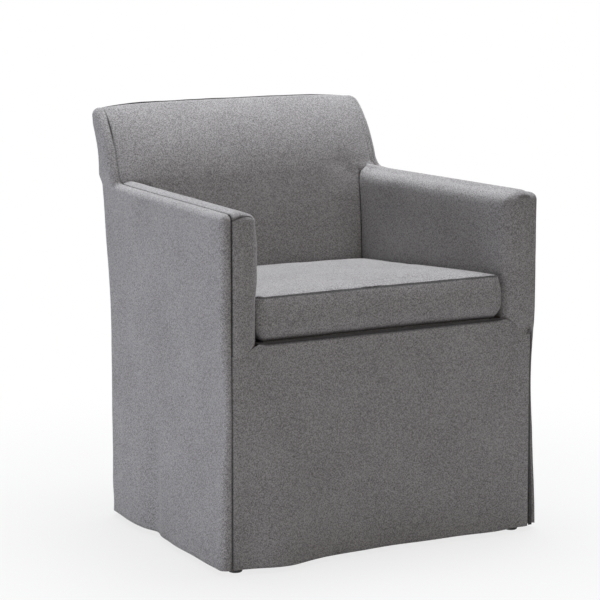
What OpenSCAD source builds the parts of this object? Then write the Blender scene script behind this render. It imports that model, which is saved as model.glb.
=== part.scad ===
// Upholstered dining armchair with a fitted cover that hangs to the floor and a loose seat cushion.
// Millimetres. The origin is on the floor under the middle of the chair, and the front faces -Y.
// Heights are measured from the floor. Depths are measured back from the arm fronts.

/* [Overall size] */
// Height of the back at the middle of its top edge
height = 780; // [760:2:810]
// Width over the arms at the front
arm_span = 660; // [640:2:690]
// Width over the back where it meets the arms
back_span = 594; // [580:2:610]
// Depth of the base at the hem, from the arm fronts to the rear cover
base_depth = 500; // [490:2:530]
// Height of the arm tops at their outer seam
arm_height = 636; // [620:2:650]
// Width of one arm
arm_width = 72; // [70:1:80]
// Height of the hem above the floor
hem_height = 10; // [9:1:16]

/* [Back] */
// Thickness of the back at the arm tops
back_thickness = 61; // [60:1:70]
// Lean of the base's rear face, per unit of height
base_slope = 0.025; // [0.01:0.005:0.03]
// Further lean of the rear face above the seat, per unit of height
back_slope = 0.135; // [0.12:0.005:0.15]
// Height where the back starts to lean
lean_start = 400; // [390:2:420]
// How far the top of the back curls rearwards
back_curl = 20; // [16:1:22]
// Height over which the top curls
curl_run = 90; // [86:1:94]
// Lean of the back's front edge above the arms, per unit of height
edge_slope = 0.2; // [0.18:0.01:0.22]
// Depth of the roll at the top of the back's front edge
edge_roll = 86; // [80:1:90]
// Crown of the inside back at the arm tops
back_crown = 28; // [20:1:30]
// Crown of the top edge between its corners
top_crown = 6; // [4:0.5:8]
// Depth of the inside back at the deck
back_foot = 452; // [450:1:456]

/* [Seat and cushion] */
// Height of the deck at the front edge
deck_height = 406; // [400:1:412]
// Fall of the deck towards the back, in degrees
seat_pitch = 3.3; // [3:0.1:3.6]
// Radius of the deck's front edge
deck_round = 9; // [7:0.5:10]
// Height of the cushion at its seams
cushion_height = 80; // [70:1:90]
// Crown of the cushion's top
cushion_crown = 9; // [6:1:14]
// Depth of the cushion
cushion_depth = 444; // [430:1:446]
// Corner radius of the cushion in plan
cushion_corner = 16; // [14:1:24]
// Clearance between the cushion and each arm
cushion_gap = 1.5; // [1:0.1:3]
// How far the cushion's front and sides draw in between the corners
cushion_waist = 3; // [0:0.5:5]

/* [Cover] */
// Thickness of the cover cloth with its lining
cloth = 2; // [1.6:0.1:2.2]
// Gap between two panels at a seam
seam_gap = 0.4; // [0.3:0.05:0.6]
// Radius of the padded corners
corner_round = 14; // [12:0.5:15]
// Distance of the perimeter seam from the outer side
seam_inset = 18; // [17:0.5:22]
// Crown of the arm tops
arm_crown = 3; // [2:0.5:5]
// Height of the front cover's top seam under the arm fronts
front_seam = 390; // [386:1:392]
// Furthest swell of the front hem
hem_swell = 22; // [14:1:26]
// How far the skirt draws in under the seat
skirt_tuck = 8; // [4:0.5:9]
// How far the side hems stand out at the front
hem_flare = 3; // [1:0.5:5]
// How far the side hems stand out further at the rear
rear_flare = 9; // [4:0.5:11]
// Width of the pleat flap on each side of a front corner
pleat_width = 55; // [45:1:60]

/* [Timber] */
// Width of the posts across the arm
post_width = 44; // [43:0.5:45]
// Depth of the front posts
front_post_depth = 40; // [36:1:46]
// Depth of the rear posts below the curl
rear_post_depth = 34; // [32:1:36]
// Thickness of the rails
rail_thickness = 25; // [22:1:27]
// Height of the seat rails
rail_height = 65; // [55:1:75]
// Thickness of the arm rails
arm_rail_height = 25; // [20:1:28]
// Length of a corner block along the rails
block_leg = 60; // [55:1:70]
// Height of a corner block
block_height = 40; // [36:1:45]
// Glue line between two timber faces
glue_line = 0.1; // [0.05:0.01:0.15]
// Thickness of the lining boards
board = 2.8; // [2.4:0.1:2.8]

/* [Webbing and foam] */
// Width of a seat strap
strap_width = 50; // [45:1:55]
// Thickness of a strap
strap = 1.2; // [1:0.1:1.4]
// Thickness of the foam on the deck
deck_foam = 10; // [8:0.5:12]
// Clearance between two soft pieces
ease = 0.3; // [0.2:0.05:0.4]

/* [Glides, nails and screws] */
// Radius of a glide
glide_radius = 12.5; // [11:0.5:14]
// Height of a glide
glide_height = 8; // [7:0.5:8.5]
// Radius of a glide nail's shank
nail_radius = 1.5; // [1.2:0.1:2]
// Length of a glide nail
nail_length = 26; // [22:1:32]
// Radius of a block screw's shank
screw_radius = 2; // [1.6:0.1:2.4]
// Length of a block screw
screw_length = 36; // [32:1:38]

/* [Cushion zip] */
// Height of the zip tape
zip_height = 12; // [10:0.5:13]
// Thickness of the zip tape
zip_tape = 1.5; // [1.2:0.1:1.8]
// Length of the zip slider
slider_length = 9; // [8:0.5:12]

/* [Hidden] */
$fn = 48;

// Taper of the arms in plan: both sides draw in towards the back
side_run = base_depth + 20;
taper_tan = (arm_span - back_span) / 2 / side_run;
taper = atan(taper_tan);
side_top = height - top_crown;
curl_drop = 130;
curl_start = height - curl_drop;
lean_blend = 40;
curl_limit = 1.03;
roll_margin = 12;
edge_run = side_top - arm_height + roll_margin;
fillet = 5;
wrap_steps = [1, 0.75, 0.5, 0.25, 0];
arc_part = 0.75;

// Ease from zero into a straight slope of one
function ramp(t, w) = t <= -w ? 0 : t >= w ? t : (t + w) * (t + w) / (4 * w);
function clamp01(t) = max(0, min(1, t));
function smooth(t) = let(c = clamp01(t)) c * c * (3 - 2 * c);
function mix(a, b, t) = a + (b - a) * t;
function bell(t) = exp(-t * t);

// Rear face and front edge of the back's side, as depths at a height
function rear_y(z) =
    base_depth + base_slope * z + back_slope * ramp(z - lean_start, lean_blend)
    + back_curl * pow(min(curl_limit, max(0, (z - curl_start) / curl_run)), 2);
edge_foot = rear_y(arm_height) - back_thickness;
function edge_y(z) =
    let(t = min(0.995, max(0, (z - arm_height) / edge_run)))
    edge_foot + edge_slope * (z - arm_height) + edge_roll * (1 - sqrt(1 - t * t));
function edge_turn(z) = atan((edge_y(z + 0.5) - edge_y(z - 0.5)));

rear_crown = 2;
rear_most = rear_y(side_top - corner_round) + rear_crown;
front_y = -(rear_most - hem_swell) / 2;
module from_front() { translate([0, front_y, 0]) children(); }

// A point beside the left outer face: x is its depth into the chair, measured from the slanted face
function left_map(p) = [p[0] - arm_span / 2 + p[1] * taper_tan, p[1] + front_y, p[2]];

// How far the outer side stands out from its plane
tuck_top = 440;
tuck_bottom = 140;
fold_y = 300;
fold_width = 38;
fold_depth = 6;
hem_reach = 370;
function swell(y, z) =
    let(
        tuck = z > tuck_top ? 0
            : z < tuck_bottom ? hem_flare * (tuck_bottom - z) / (tuck_bottom - hem_height)
            : -skirt_tuck * (1 - cos(360 * (z - tuck_bottom) / (tuck_top - tuck_bottom))) / 2,
        low = pow(clamp01(1 - (z - hem_height) / hem_reach), 2)
    )
    tuck + low * (rear_flare * y / base_depth - fold_depth * bell((y - fold_y) / fold_width));

// Cloth wrapped round a padded edge: distance past the offset line, then depth from the face
function wrap(w, r, inset, d) =
    w <= arc_part
    ? [(r - d) * sin(90 * w / arc_part), r - (r - d) * cos(90 * w / arc_part)]
    : [r - d, mix(r, inset, (w - arc_part) / (1 - arc_part))];
function turn_dir(psi) = [-cos(psi), sin(psi)];

// Convex and concave corners of a wrapped outline, from the two wrap amounts to [amount, direction]
function outer_corner(a, b, psi_a, psi_b) =
    let(w = max(a, b), mid = (psi_a + psi_b) / 2)
    w == 0 ? [0, mid] : a >= b ? [w, mix(psi_a, mid, b / a)] : [w, mix(psi_b, mid, a / b)];
function inner_corner(a, b, psi_a, psi_b) =
    let(w = min(a, b), mid = (psi_a + psi_b) / 2)
    a == b ? [w, mid]
    : a > b ? [w, mix(psi_b, mid, (1 - a) / (1 - b))] : [w, mix(psi_a, mid, (1 - b) / (1 - a))];

// A sheet from a grid of outer points and a grid of inner points, without the cells that keep leaves out
module sheet(outer, inner, keep, closed = false, rising = []) {
    rows = len(outer);
    cols = len(outer[0]);
    cells = closed ? cols : cols - 1;
    function o(r, c) = r * cols + c % cols;
    function i(r, c) = rows * cols + o(r, c);
    function on(r, c) =
        r < 0 || r >= rows - 1 ? false
        : closed ? keep[r][(c + cells) % cells] : c < 0 || c >= cells ? false : keep[r][c];
    function falling(r, c) = let(e = (c + 1) % cols)
        len([for (v = rising) if (v == [r, c]) 1]) == 0
        && norm(outer[r][c] - outer[r + 1][e]) <= norm(outer[r + 1][c] - outer[r][e]);
    faces = [
        for (r = [0 : rows - 2], c = [0 : cells - 1]) if (on(r, c)) each [
            each falling(r, c)
                ? [[o(r, c), o(r + 1, c), o(r + 1, c + 1)], [o(r, c), o(r + 1, c + 1), o(r, c + 1)],
                    [i(r, c), i(r + 1, c + 1), i(r + 1, c)], [i(r, c), i(r, c + 1), i(r + 1, c + 1)]]
                : [[o(r, c), o(r + 1, c), o(r, c + 1)], [o(r + 1, c), o(r + 1, c + 1), o(r, c + 1)],
                    [i(r, c), i(r, c + 1), i(r + 1, c)], [i(r + 1, c), i(r, c + 1), i(r + 1, c + 1)]],
            if (!on(r - 1, c)) each [
                [o(r, c), o(r, c + 1), i(r, c + 1)], [o(r, c), i(r, c + 1), i(r, c)]],
            if (!on(r + 1, c)) each [
                [o(r + 1, c + 1), o(r + 1, c), i(r + 1, c)],
                [o(r + 1, c + 1), i(r + 1, c), i(r + 1, c + 1)]],
            if (!on(r, c - 1)) each [
                [o(r + 1, c), o(r, c), i(r, c)], [o(r + 1, c), i(r, c), i(r + 1, c)]],
            if (!on(r, c + 1)) each [
                [o(r, c + 1), o(r + 1, c + 1), i(r + 1, c + 1)],
                [o(r, c + 1), i(r + 1, c + 1), i(r, c + 1)]]
        ]
    ];
    polyhedron([for (row = outer) each row, for (row = inner) each row], faces);
}
function all_cells(rows, cols) = [for (r = [0 : rows - 2]) [for (c = [0 : cols - 2]) true]];

// A closed solid through rings of points, from its upper centre over the rings to its lower centre
module loft(rings, upper, lower) {
    count = len(rings[0]);
    n = len(rings);
    function p(k, i) = k * count + i % count;
    faces = [
        for (i = [0 : count - 1]) each [
            [n * count, p(0, i + 1), p(0, i)],
            [n * count + 1, p(n - 1, i), p(n - 1, i + 1)],
            for (k = [0 : n - 2]) each [
                [p(k, i), p(k, i + 1), p(k + 1, i + 1)], [p(k, i), p(k + 1, i + 1), p(k + 1, i)]]
        ]
    ];
    polyhedron([for (ring = rings) each ring, upper, lower], faces);
}

// Side cover: columns run from the front seam to the rear seam, rows from the hem to the top seam
arm_cols = 6;
skirt_rows = 7;
arm_rows = 3;
back_rows = 5;
last_wrap = len(wrap_steps) - 1;
joint_col = last_wrap + arm_cols;
inner_col = joint_col + last_wrap;
rear_col = inner_col + 2;
side_cols = rear_col + last_wrap + 1;
bent_row = skirt_rows + arm_rows;
joint_row = bent_row + last_wrap;
corner_row = joint_row + back_rows;
side_rows = corner_row + last_wrap + 1;
edge_turn_low = atan(edge_slope);
fillet_center = [
    edge_y(arm_height + fillet * (1 - sin(edge_turn_low))) - fillet * cos(edge_turn_low),
    arm_height + fillet
];
edge_low = fillet_center[1] - fillet * sin(edge_turn_low);
roll_share = 0.3;
edge_turn_top = edge_turn(side_top - roll_share * corner_round);
edge_high = side_top - corner_round * (1 - sin(edge_turn_top));

function col_wrap(c) =
    c <= last_wrap ? wrap_steps[c]
    : c < joint_col ? 0
    : c <= inner_col ? wrap_steps[c - joint_col]
    : c < rear_col ? 0 : wrap_steps[last_wrap - (c - rear_col)];
function fillet_base(psi) = fillet_center - (fillet + corner_round) * turn_dir(psi);
back_steps = [0, 0.05, 0.28, 0.52, 0.76, 1];
function back_level(r) = mix(edge_low, edge_high, back_steps[max(0, min(back_rows, r - joint_row))]);
function bent_base(a) = fillet_base(mix((90 + edge_turn_low) / 2, 90, a));
function edge_base(z, turn) = [edge_y(z), z] - corner_round * turn_dir(turn);

// One point of the side cover's outer face, or of any face that lies d inside it
function side_point(r, c, d, inset) =
    let(
        a = col_wrap(c),
        in_front = c <= last_wrap, in_arm = c > last_wrap && c < joint_col,
        in_joint = c >= joint_col && c <= inner_col, in_rear = c >= rear_col,
        z_low = r <= skirt_rows ? mix(hem_height, front_seam, r / skirt_rows)
            : mix(front_seam, arm_height - corner_round, (r - skirt_rows) / arm_rows),
        b = r <= bent_row ? 0 : r <= joint_row ? wrap_steps[last_wrap - (r - bent_row)]
            : r <= corner_row ? 0 : wrap_steps[last_wrap - (r - corner_row)],
        turn = r >= corner_row ? edge_turn_top
            : r <= joint_row ? edge_turn_low
            : edge_turn(back_level(r)),
        z_edge = back_level(r),
        lean = r < bent_row ? rear_y(z_low) - rear_y(bent_base(0)[1]) : 0,
        root_low = bent_base(0),
        root_joint = fillet_base(mix(edge_turn_low, (90 + edge_turn_low) / 2, 1 - b)),
        root_high = edge_base(z_edge, turn),
        root = r <= bent_row ? [root_low[0] + lean, r < bent_row ? z_low : root_low[1]]
            : r <= joint_row ? root_joint : root_high,
        arm_y = mix(corner_round, fillet_center[0] + lean, clamp01((c - last_wrap) / arm_cols)),
        z_row = r < bent_row ? z_low : arm_height - corner_round,
        concave = inner_corner(a, b, edge_turn_low, 90),
        psi_w = r <= joint_row && in_front ? (r <= bent_row ? [a, 0] : outer_corner(a, b, 0, 90))
            : r <= joint_row && (in_arm || c == joint_col) ? [b, 90]
            : r <= bent_row && in_joint ? [0, 90]
            : r <= joint_row && in_joint ? concave
            : in_joint ? outer_corner(a, b, turn, 90)
            : in_rear ? outer_corner(a, r > corner_row ? b : 0, 180, 90)
            : [r > corner_row ? b : 0, 90],
        base = in_front && r <= joint_row ? [corner_round, z_row]
            : r <= joint_row && (in_arm || c == joint_col) ? [arm_y, z_row]
            : r < bent_row && in_joint ? [bent_base(a)[0] + lean, z_low]
            : r == bent_row && in_joint ? bent_base(a)
            : r <= joint_row && in_joint ? fillet_base(concave[1])
            : in_joint ? root_high
            : in_rear ? [rear_y(root[1]) - corner_round, root[1]]
            : [mix(root[0], rear_y(root[1]) - corner_round, 0.5), root[1]],
        k = wrap(psi_w[0], corner_round, inset, d),
        n = turn_dir(psi_w[1]),
        y = base[0] + n[0] * k[0],
        z = base[1] + n[1] * k[0]
    )
    left_map([k[1] - swell(base[0], z) * (1 - psi_w[0]), y, z]);
function side_grid(d) = [
    for (r = [0 : side_rows - 1]) [
        for (c = [0 : side_cols - 1]) side_point(r, c, d, seam_inset - seam_gap / 2)]];
side_cells = [for (r = [0 : side_rows - 2]) [for (c = [0 : side_cols - 2]) r < joint_row || c >= joint_col]];
turned_cells = [[joint_row - 1, 0], [side_rows - 2, joint_col]];

module side_cover() {
    sheet(side_grid(cloth), side_grid(0), side_cells, false, turned_cells);
}
module mirrored() { mirror([1, 0, 0]) children(); }
module side_cover_left() { color("#8d8c90") side_cover(); }
module side_cover_right() { color("#8d8c90") mirrored() side_cover(); }

// The seam line round the back, s from 0 at the arm top over the roll to 5 at the rear hem
top_z = edge_high - corner_round * sin(edge_turn_top);
rear_corner = [rear_y(top_z) - corner_round, top_z];
front_corner = edge_base(edge_high, edge_turn_top);
function seam_turn(s) =
    s <= 1 ? edge_turn(mix(edge_low, edge_high, s)) : s <= 2 ? mix(edge_turn_top, 90, s - 1)
    : s <= 3 ? 90 : s <= 4 ? mix(90, 180, s - 3) : 180;
function seam_yz(s) =
    s <= 1 ? [edge_y(mix(edge_low, edge_high, s)), mix(edge_low, edge_high, s)]
    : s <= 2 ? front_corner + corner_round * turn_dir(seam_turn(s))
    : s <= 3 ? [mix(front_corner[0], rear_corner[0], s - 2), top_z + corner_round]
    : s <= 4 ? rear_corner + corner_round * turn_dir(seam_turn(s))
    : let(z = mix(top_z, hem_height, s - 4)) [rear_y(z), z];
shoulder_crown = top_crown + 2;
function seam_crown(s) =
    s <= 1 ? mix(back_crown, shoulder_crown, s) : s <= 2 ? mix(shoulder_crown, top_crown, s - 1)
    : s <= 3 ? top_crown : mix(top_crown, rear_crown, clamp01(s - 3));
function seam_half(y, inset) = arm_span / 2 - y * taper_tan - inset;
crown_powers = [8, 5];
function across(u, s = 1) = 1 - pow(min(1, abs(u)), mix(crown_powers[0], crown_powers[1], clamp01(s)));
rear_seam = 3.5;

// Depth of the inside back below the roll, between the arms
function inside_y(x, z) =
    let(
        top = seam_yz(0),
        t = clamp01((z - deck_height) / (top[1] - deck_height)),
        foot = mix(back_foot, top[0] - back_crown, t),
        u = x / seam_half(top[0], seam_inset)
    )
    foot + back_crown * mix(0.5, 1, t) * (1 - across(u, 0));
function arm_inner_half(y) = arm_span / 2 - arm_width - y * taper_tan;

// Inside back: narrow between the arms, then as wide as the seams, over the roll to the rear seam
narrow_rows = 4;
roll_steps = [0, 0.2, 0.4, 0.6, 0.8, 1, 1.5, 2, 3, 3.25, rear_seam];
back_cols = 15;
narrow_cols = 10;
function back_x(c, half_narrow, half_wide) =
    let(k = c - (back_cols - 1) / 2, q = narrow_cols / 2)
    abs(k) <= q ? half_narrow * k / q : sign(k) * mix(half_narrow, half_wide, (abs(k) - q) / 2);
deck_clear = 1;
function tuck_z(y) = deck_height - (y - deck_round) * tan(seat_pitch);
function inside_back_point(r, c, d) =
    let(low = seam_yz(0), half = arm_inner_half(inside_y(0, low[1])) - seam_gap)
    r < narrow_rows
    ? let(
        z = mix(tuck_z(back_foot) + deck_clear, low[1], r / narrow_rows),
        half_z = arm_inner_half(inside_y(0, z) + back_crown * 0.3) - seam_gap,
        x = back_x(c, half_z, half_z + 2)
      )
      [x, inside_y(x, z) + d + front_y, z]
    : let(
        s = roll_steps[r - narrow_rows], p = seam_yz(s), n = turn_dir(seam_turn(s)),
        wide = seam_half(p[0], seam_inset + seam_gap / 2), x = back_x(c, half, wide),
        rise = seam_crown(s) * across(x / wide, s) - d, q = p + n * rise
      )
      [x, q[0] + front_y, q[1]];
inside_rows = narrow_rows + len(roll_steps);
inside_cells = [
    for (r = [0 : inside_rows - 2]) [
        for (c = [0 : back_cols - 2]) r >= narrow_rows || (c >= 2 && c < back_cols - 3)]];
function inside_grid(d) = [
    for (r = [0 : inside_rows - 1]) [for (c = [0 : back_cols - 1]) inside_back_point(r, c, d)]];
module inside_back_cover() { color("#86868a") sheet(inside_grid(0), inside_grid(cloth), inside_cells); }

// Outside back: from the rear top seam down to the hem
rear_steps = [rear_seam + 0.06, 3.75, 4, 4.1, 4.25, 4.4, 4.55, 4.7, 4.85, 5];
rear_cols = 9;
function rear_point(k, c, d) =
    let(
        s = rear_steps[k], p = seam_yz(s), n = turn_dir(seam_turn(s)),
        wide = seam_half(p[0], seam_inset + seam_gap / 2),
        x = wide * (1 - 2 * c / (rear_cols - 1)),
        q = p + n * (seam_crown(s) * across(x / wide) - d)
    )
    [x, q[0] + front_y, q[1]];
function rear_grid(d) = [
    for (k = [len(rear_steps) - 1 : -1 : 0]) [for (c = [0 : rear_cols - 1]) rear_point(k, c, d)]];
module outside_back_cover() {
    color("#7f7f83") sheet(rear_grid(0), rear_grid(cloth), all_cells(len(rear_steps), rear_cols));
}

// Arm cover: inside arm, arm top and arm front, from the perimeter seam to the deck and the inside back
arm_wraps = [1, 0.875, 0.75, 0.5, 0.25, 0];
last_arm = len(arm_wraps) - 1;
face_cols = 5;
face_rows = 4;
arm_strip = arm_width - seam_inset - seam_gap / 2;
seam_rise = 7;
seam_ease = 27;
function seam_under_arm(depth) =
    front_seam + seam_rise * smooth((depth - arm_width + seam_ease) / seam_ease);
function arm_point(r, c, d) =
    let(
        a = c <= last_arm ? arm_wraps[c] : 0,
        b = r <= face_rows ? 0 : arm_wraps[last_arm - (r - face_rows)],
        t = outer_corner(a, b, 0, 90),
        flat = wrap(t[0], corner_round, arm_strip, d),
        strip_t = clamp01((t[0] - arc_part) / (1 - arc_part)),
        out = flat[0] + arm_crown * sin(180 * strip_t),
        n = turn_dir(t[1]),
        depth = arm_width - flat[1],
        x_mid = arm_inner_half(back_foot) + flat[1],
        z_top = arm_height - corner_round,
        along = clamp01((c - last_arm) / face_cols),
        z_bottom = c <= last_arm ? seam_under_arm(depth) + seam_gap
            : tuck_z(mix(0, back_foot, along)) + deck_clear,
        z = r <= face_rows ? mix(z_bottom, z_top, r / face_rows) : z_top,
        reach = inside_y(x_mid, z + n[1] * out) - 2 * seam_gap,
        y = mix(corner_round, reach, along)
    )
    left_map([depth, y + n[0] * out, z + n[1] * out]);
function arm_grid(d) = [
    for (r = [0 : face_rows + last_arm]) [for (c = [0 : face_cols + last_arm]) arm_point(r, c, d)]];
module arm_cover() {
    sheet(arm_grid(0), arm_grid(cloth), all_cells(face_rows + last_arm + 1, face_cols + last_arm + 1));
}
module arm_cover_left() { color("#b3b3b8") arm_cover(); }
module arm_cover_right() { color("#b3b3b8") mirrored() arm_cover(); }

// Front cover: skirt and seat front in one, rolled over the deck's edge between the arms
hem_waves = [[-215, 60, hem_swell], [235, 50, 8], [15, 60, -5]];
front_skirt_rows = 7;
roll_angles = [30, 60, 90];
deck_lap = 30;
front_cols = 17;
wave_reach = 300;
wave_power = 1.5;
function hem_wave(x) = let(w = [for (v = hem_waves) v[2] * bell((x - v[0]) / v[1])]) w[0] + w[1] + w[2];
function front_x(c) =
    let(k = c - (front_cols - 1) / 2, q = (front_cols - 1) / 2 - 2,
        narrow = arm_span / 2 - arm_width - seam_gap, wide = arm_span / 2 - seam_inset - seam_gap / 2)
    abs(k) <= q ? narrow * k / q : sign(k) * mix(narrow, wide, (abs(k) - q) / 2);
function front_point(r, c, d) =
    let(
        x = front_x(c), edge = deck_height - deck_round,
        z_seam = min(edge, seam_under_arm(arm_span / 2 - abs(x))),
        z = mix(hem_height, z_seam, min(1, r / front_skirt_rows)),
        fade = pow(clamp01(1 - (z - hem_height) / wave_reach), wave_power),
        roll = r - front_skirt_rows
    )
    roll <= 0 ? [x, -hem_wave(x) * fade + d + front_y, z]
    : let(
        a = roll_angles[min(2, roll - 1)],
        y = roll <= 3 ? deck_round - (deck_round - d) * cos(a) : deck_lap,
        narrowed = x * (arm_inner_half(y) - seam_gap) / (arm_inner_half(0) - seam_gap)
      )
      [narrowed, y + front_y, roll <= 3 ? edge + (deck_round - d) * sin(a) : tuck_z(deck_lap) - d];
front_rows = front_skirt_rows + len(roll_angles) + 2;
front_cells = [
    for (r = [0 : front_rows - 2]) [
        for (c = [0 : front_cols - 2]) r < front_skirt_rows || (c >= 2 && c < front_cols - 3)]];
function front_grid(d) = [
    for (r = [0 : front_rows - 1]) [for (c = [0 : front_cols - 1]) front_point(r, c, d)]];
module front_cover() { color("#6b6866") sheet(front_grid(0), front_grid(cloth), front_cells); }

// Pleat flap behind each front corner, round the corner from the front to the side
flap = 1.5;
flap_clear = 0.2;
flap_drop = 8;
flap_hem = 2;
flap_inset = cloth + seam_gap + flap_clear;
flap_top = front_seam - flap_drop;
flap_cols = last_wrap + 3;
function flap_point(r, c, d) =
    let(
        z = r == 0 ? hem_height + flap_hem : min(flap_top, mix(hem_height, front_seam, r / skirt_rows)),
        w = c <= last_wrap ? wrap_steps[c] : 0,
        k = wrap(w, corner_round, seam_inset + pleat_width, d),
        y = c <= last_wrap ? corner_round : mix(corner_round, pleat_width, (c - last_wrap) / 2)
    )
    left_map([k[1] - swell(y, z) * (1 - w), y - k[0], z]);
function flap_grid(d) = [for (r = [0 : skirt_rows]) [for (c = [0 : flap_cols - 1]) flap_point(r, c, d)]];
module pleat_flap() {
    sheet(flap_grid(flap_inset + flap), flap_grid(flap_inset), all_cells(skirt_rows + 1, flap_cols));
}
module pleat_flap_left() { color("#5f5d5c") pleat_flap(); }
module pleat_flap_right() { color("#5f5d5c") mirrored() pleat_flap(); }

// Timber side frames are flat, and stand along the slanted sides
module left_frame() { translate([-arm_span / 2, front_y, 0]) rotate([0, 0, -taper]) children(); }
module side_profile(points, depth, width) {
    translate([depth, 0, 0]) rotate([90, 0, 90]) linear_extrude(width) polygon(points);
}
// Depth in the chair of a point of the side frame, which stands turned by the taper
function frame_y(depth, y) = y * cos(taper) - depth * sin(taper);
post_offset = 1;
post_depth = (arm_width - post_width) / 2 - post_offset;
post_inner = post_depth + post_width;
post_front = (flap_inset + flap + ease + post_inner * sin(taper)) / cos(taper);
post_back = post_front + front_post_depth;
arm_padding = 26;
arm_rail_top = arm_height - arm_padding;
arm_rail_bottom = arm_rail_top - arm_rail_height;

// Layers of the seat, down from the deck surface, in the deck's own pitched frame
cloth_low = -cloth;
foam_top = cloth_low - ease;
foam_low = foam_top - deck_foam;
long_top = foam_low - ease;
cross_top = long_top - strap - glue_line;
long_seat = long_top - strap - glue_line;
cross_seat = cross_top - strap - glue_line;
rail_low = cross_seat - rail_height;
function seat_z(y, level) = deck_height - (y - deck_round) * tan(seat_pitch) + level / cos(seat_pitch);
module pitched() {
    translate([0, front_y + deck_round, deck_height]) rotate([-seat_pitch, 0, 0]) children();
}

// Rear posts follow the rear cover at a fixed distance
cover_room = 8;
top_padding = 29;
post_thinning = 10;
post_levels = [glide_height + glue_line, lean_start, curl_start, side_top - top_padding];
function post_rear(i) = rear_y(post_levels[i]) - cover_room;
function post_front_at(i) = post_rear(i) - rear_post_depth + (i == 3 ? post_thinning : 0);
function along_post(z, front) =
    let(i = z < post_levels[1] ? 0 : z < post_levels[2] ? 1 : 2,
        t = (z - post_levels[i]) / (post_levels[i + 1] - post_levels[i]))
    front ? mix(post_front_at(i), post_front_at(i + 1), t) : mix(post_rear(i), post_rear(i + 1), t);

nail_places = [
    [post_depth + post_width / 2, post_front + front_post_depth / 2],
    [post_depth + post_width / 2, (post_rear(0) + post_front_at(0)) / 2]
];
nail_clear = 0.05;
nail_head = 1.5;
nail_recess = 2;
nail_head_radius = 4.5;
bore_spare = 4;
module at_nails(i) { translate([nail_places[i][0], nail_places[i][1], 0]) children(); }
module nail_bore(i) {
    at_nails(i) cylinder(r = nail_radius + nail_clear, h = nail_length + bore_spare);
}

module front_post() {
    difference() {
        translate([post_depth, post_front, glide_height + glue_line])
            cube([post_width, front_post_depth, arm_rail_bottom - glue_line - glide_height - glue_line]);
        nail_bore(0);
    }
}
module front_post_left() { color("#c9a877") left_frame() front_post(); }
module front_post_right() { color("#c9a877") mirrored() left_frame() front_post(); }

module rear_post() {
    difference() {
        side_profile(concat(
            [for (i = [0 : 3]) [post_rear(i), post_levels[i]]],
            [for (i = [3 : -1 : 0]) [post_front_at(i), post_levels[i]]]), post_depth, post_width);
        nail_bore(1);
    }
}
module rear_post_left() { color("#c9a877") left_frame() rear_post(); }
module rear_post_right() { color("#c9a877") mirrored() left_frame() rear_post(); }

// Holes for the block screws: along the depth into the cross rails, across into the side rails
front_rail_y = post_front;
front_rail_rear = front_rail_y + rail_thickness;
rail_setback = 4;
rear_rail_y = frame_y(post_depth, along_post(front_seam, true)) + rail_setback;
block_bore = screw_radius + nail_clear;
screw_seat = 16;
head_radius = 4;
head_height = 2.5;
head_bore = 40;
head_sides = 12;
screw_side = 24;
screw_offset = 8;
block_rise = 15;
bore_growth = 10;
block_z = [seat_z(front_rail_rear, rail_low) + block_rise, seat_z(rear_rail_y, rail_low) + block_rise];
block_face = [front_rail_rear + glue_line, rear_rail_y - glue_line];
block_sense = [1, -1];
function inner_x(y) = -arm_span / 2 + (post_inner + glue_line) / cos(taper) + y * taper_tan;

module block_screw(grow) {
    head = grow > 0 ? head_bore : head_height;
    cylinder(r = screw_radius + grow, h = screw_length + grow * bore_growth);
    translate([0, 0, -head]) cylinder(r = head_radius + grow * bore_growth, h = head, $fn = head_sides);
}
// Screw of block k: into its cross rail, or into its side rail
module cross_screw(k, grow) {
    y = block_face[k] + block_sense[k] * screw_seat;
    translate([inner_x(y) + screw_side, y + front_y, block_z[k] + block_height / 2 + screw_offset])
        rotate([90 * block_sense[k], 0, 0]) block_screw(grow);
}
module side_screw(k, grow) {
    y = block_face[k] + block_sense[k] * screw_side;
    translate([inner_x(y) + screw_seat, y + front_y, block_z[k] + block_height / 2 - screw_offset])
        rotate([0, -90, 0]) block_screw(grow);
}
module screw_holes() {
    for (k = [0, 1]) { cross_screw(k, nail_clear); side_screw(k, nail_clear); }
}
module both_sides() { children(); mirrored() children(); }

// Prism between the two side frames, which trims what stands between them
module between_frames() {
    near = -arm_width;
    far = base_depth + 2 * arm_width;
    linear_extrude(height) polygon([
        [inner_x(near), near + front_y], [-inner_x(near), near + front_y],
        [-inner_x(far), far + front_y], [inner_x(far), far + front_y]]);
}
module cross_bar(points) {
    intersection() {
        translate([-arm_span / 2, front_y, 0]) side_profile(points, 0, arm_span);
        between_frames();
    }
}
function seat_bar(y0, y1) = [
    [y0, seat_z(y0, rail_low)], [y1, seat_z(y1, rail_low)],
    [y1, seat_z(y1, long_seat)], [y0, seat_z(y0, long_seat)]];

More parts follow.
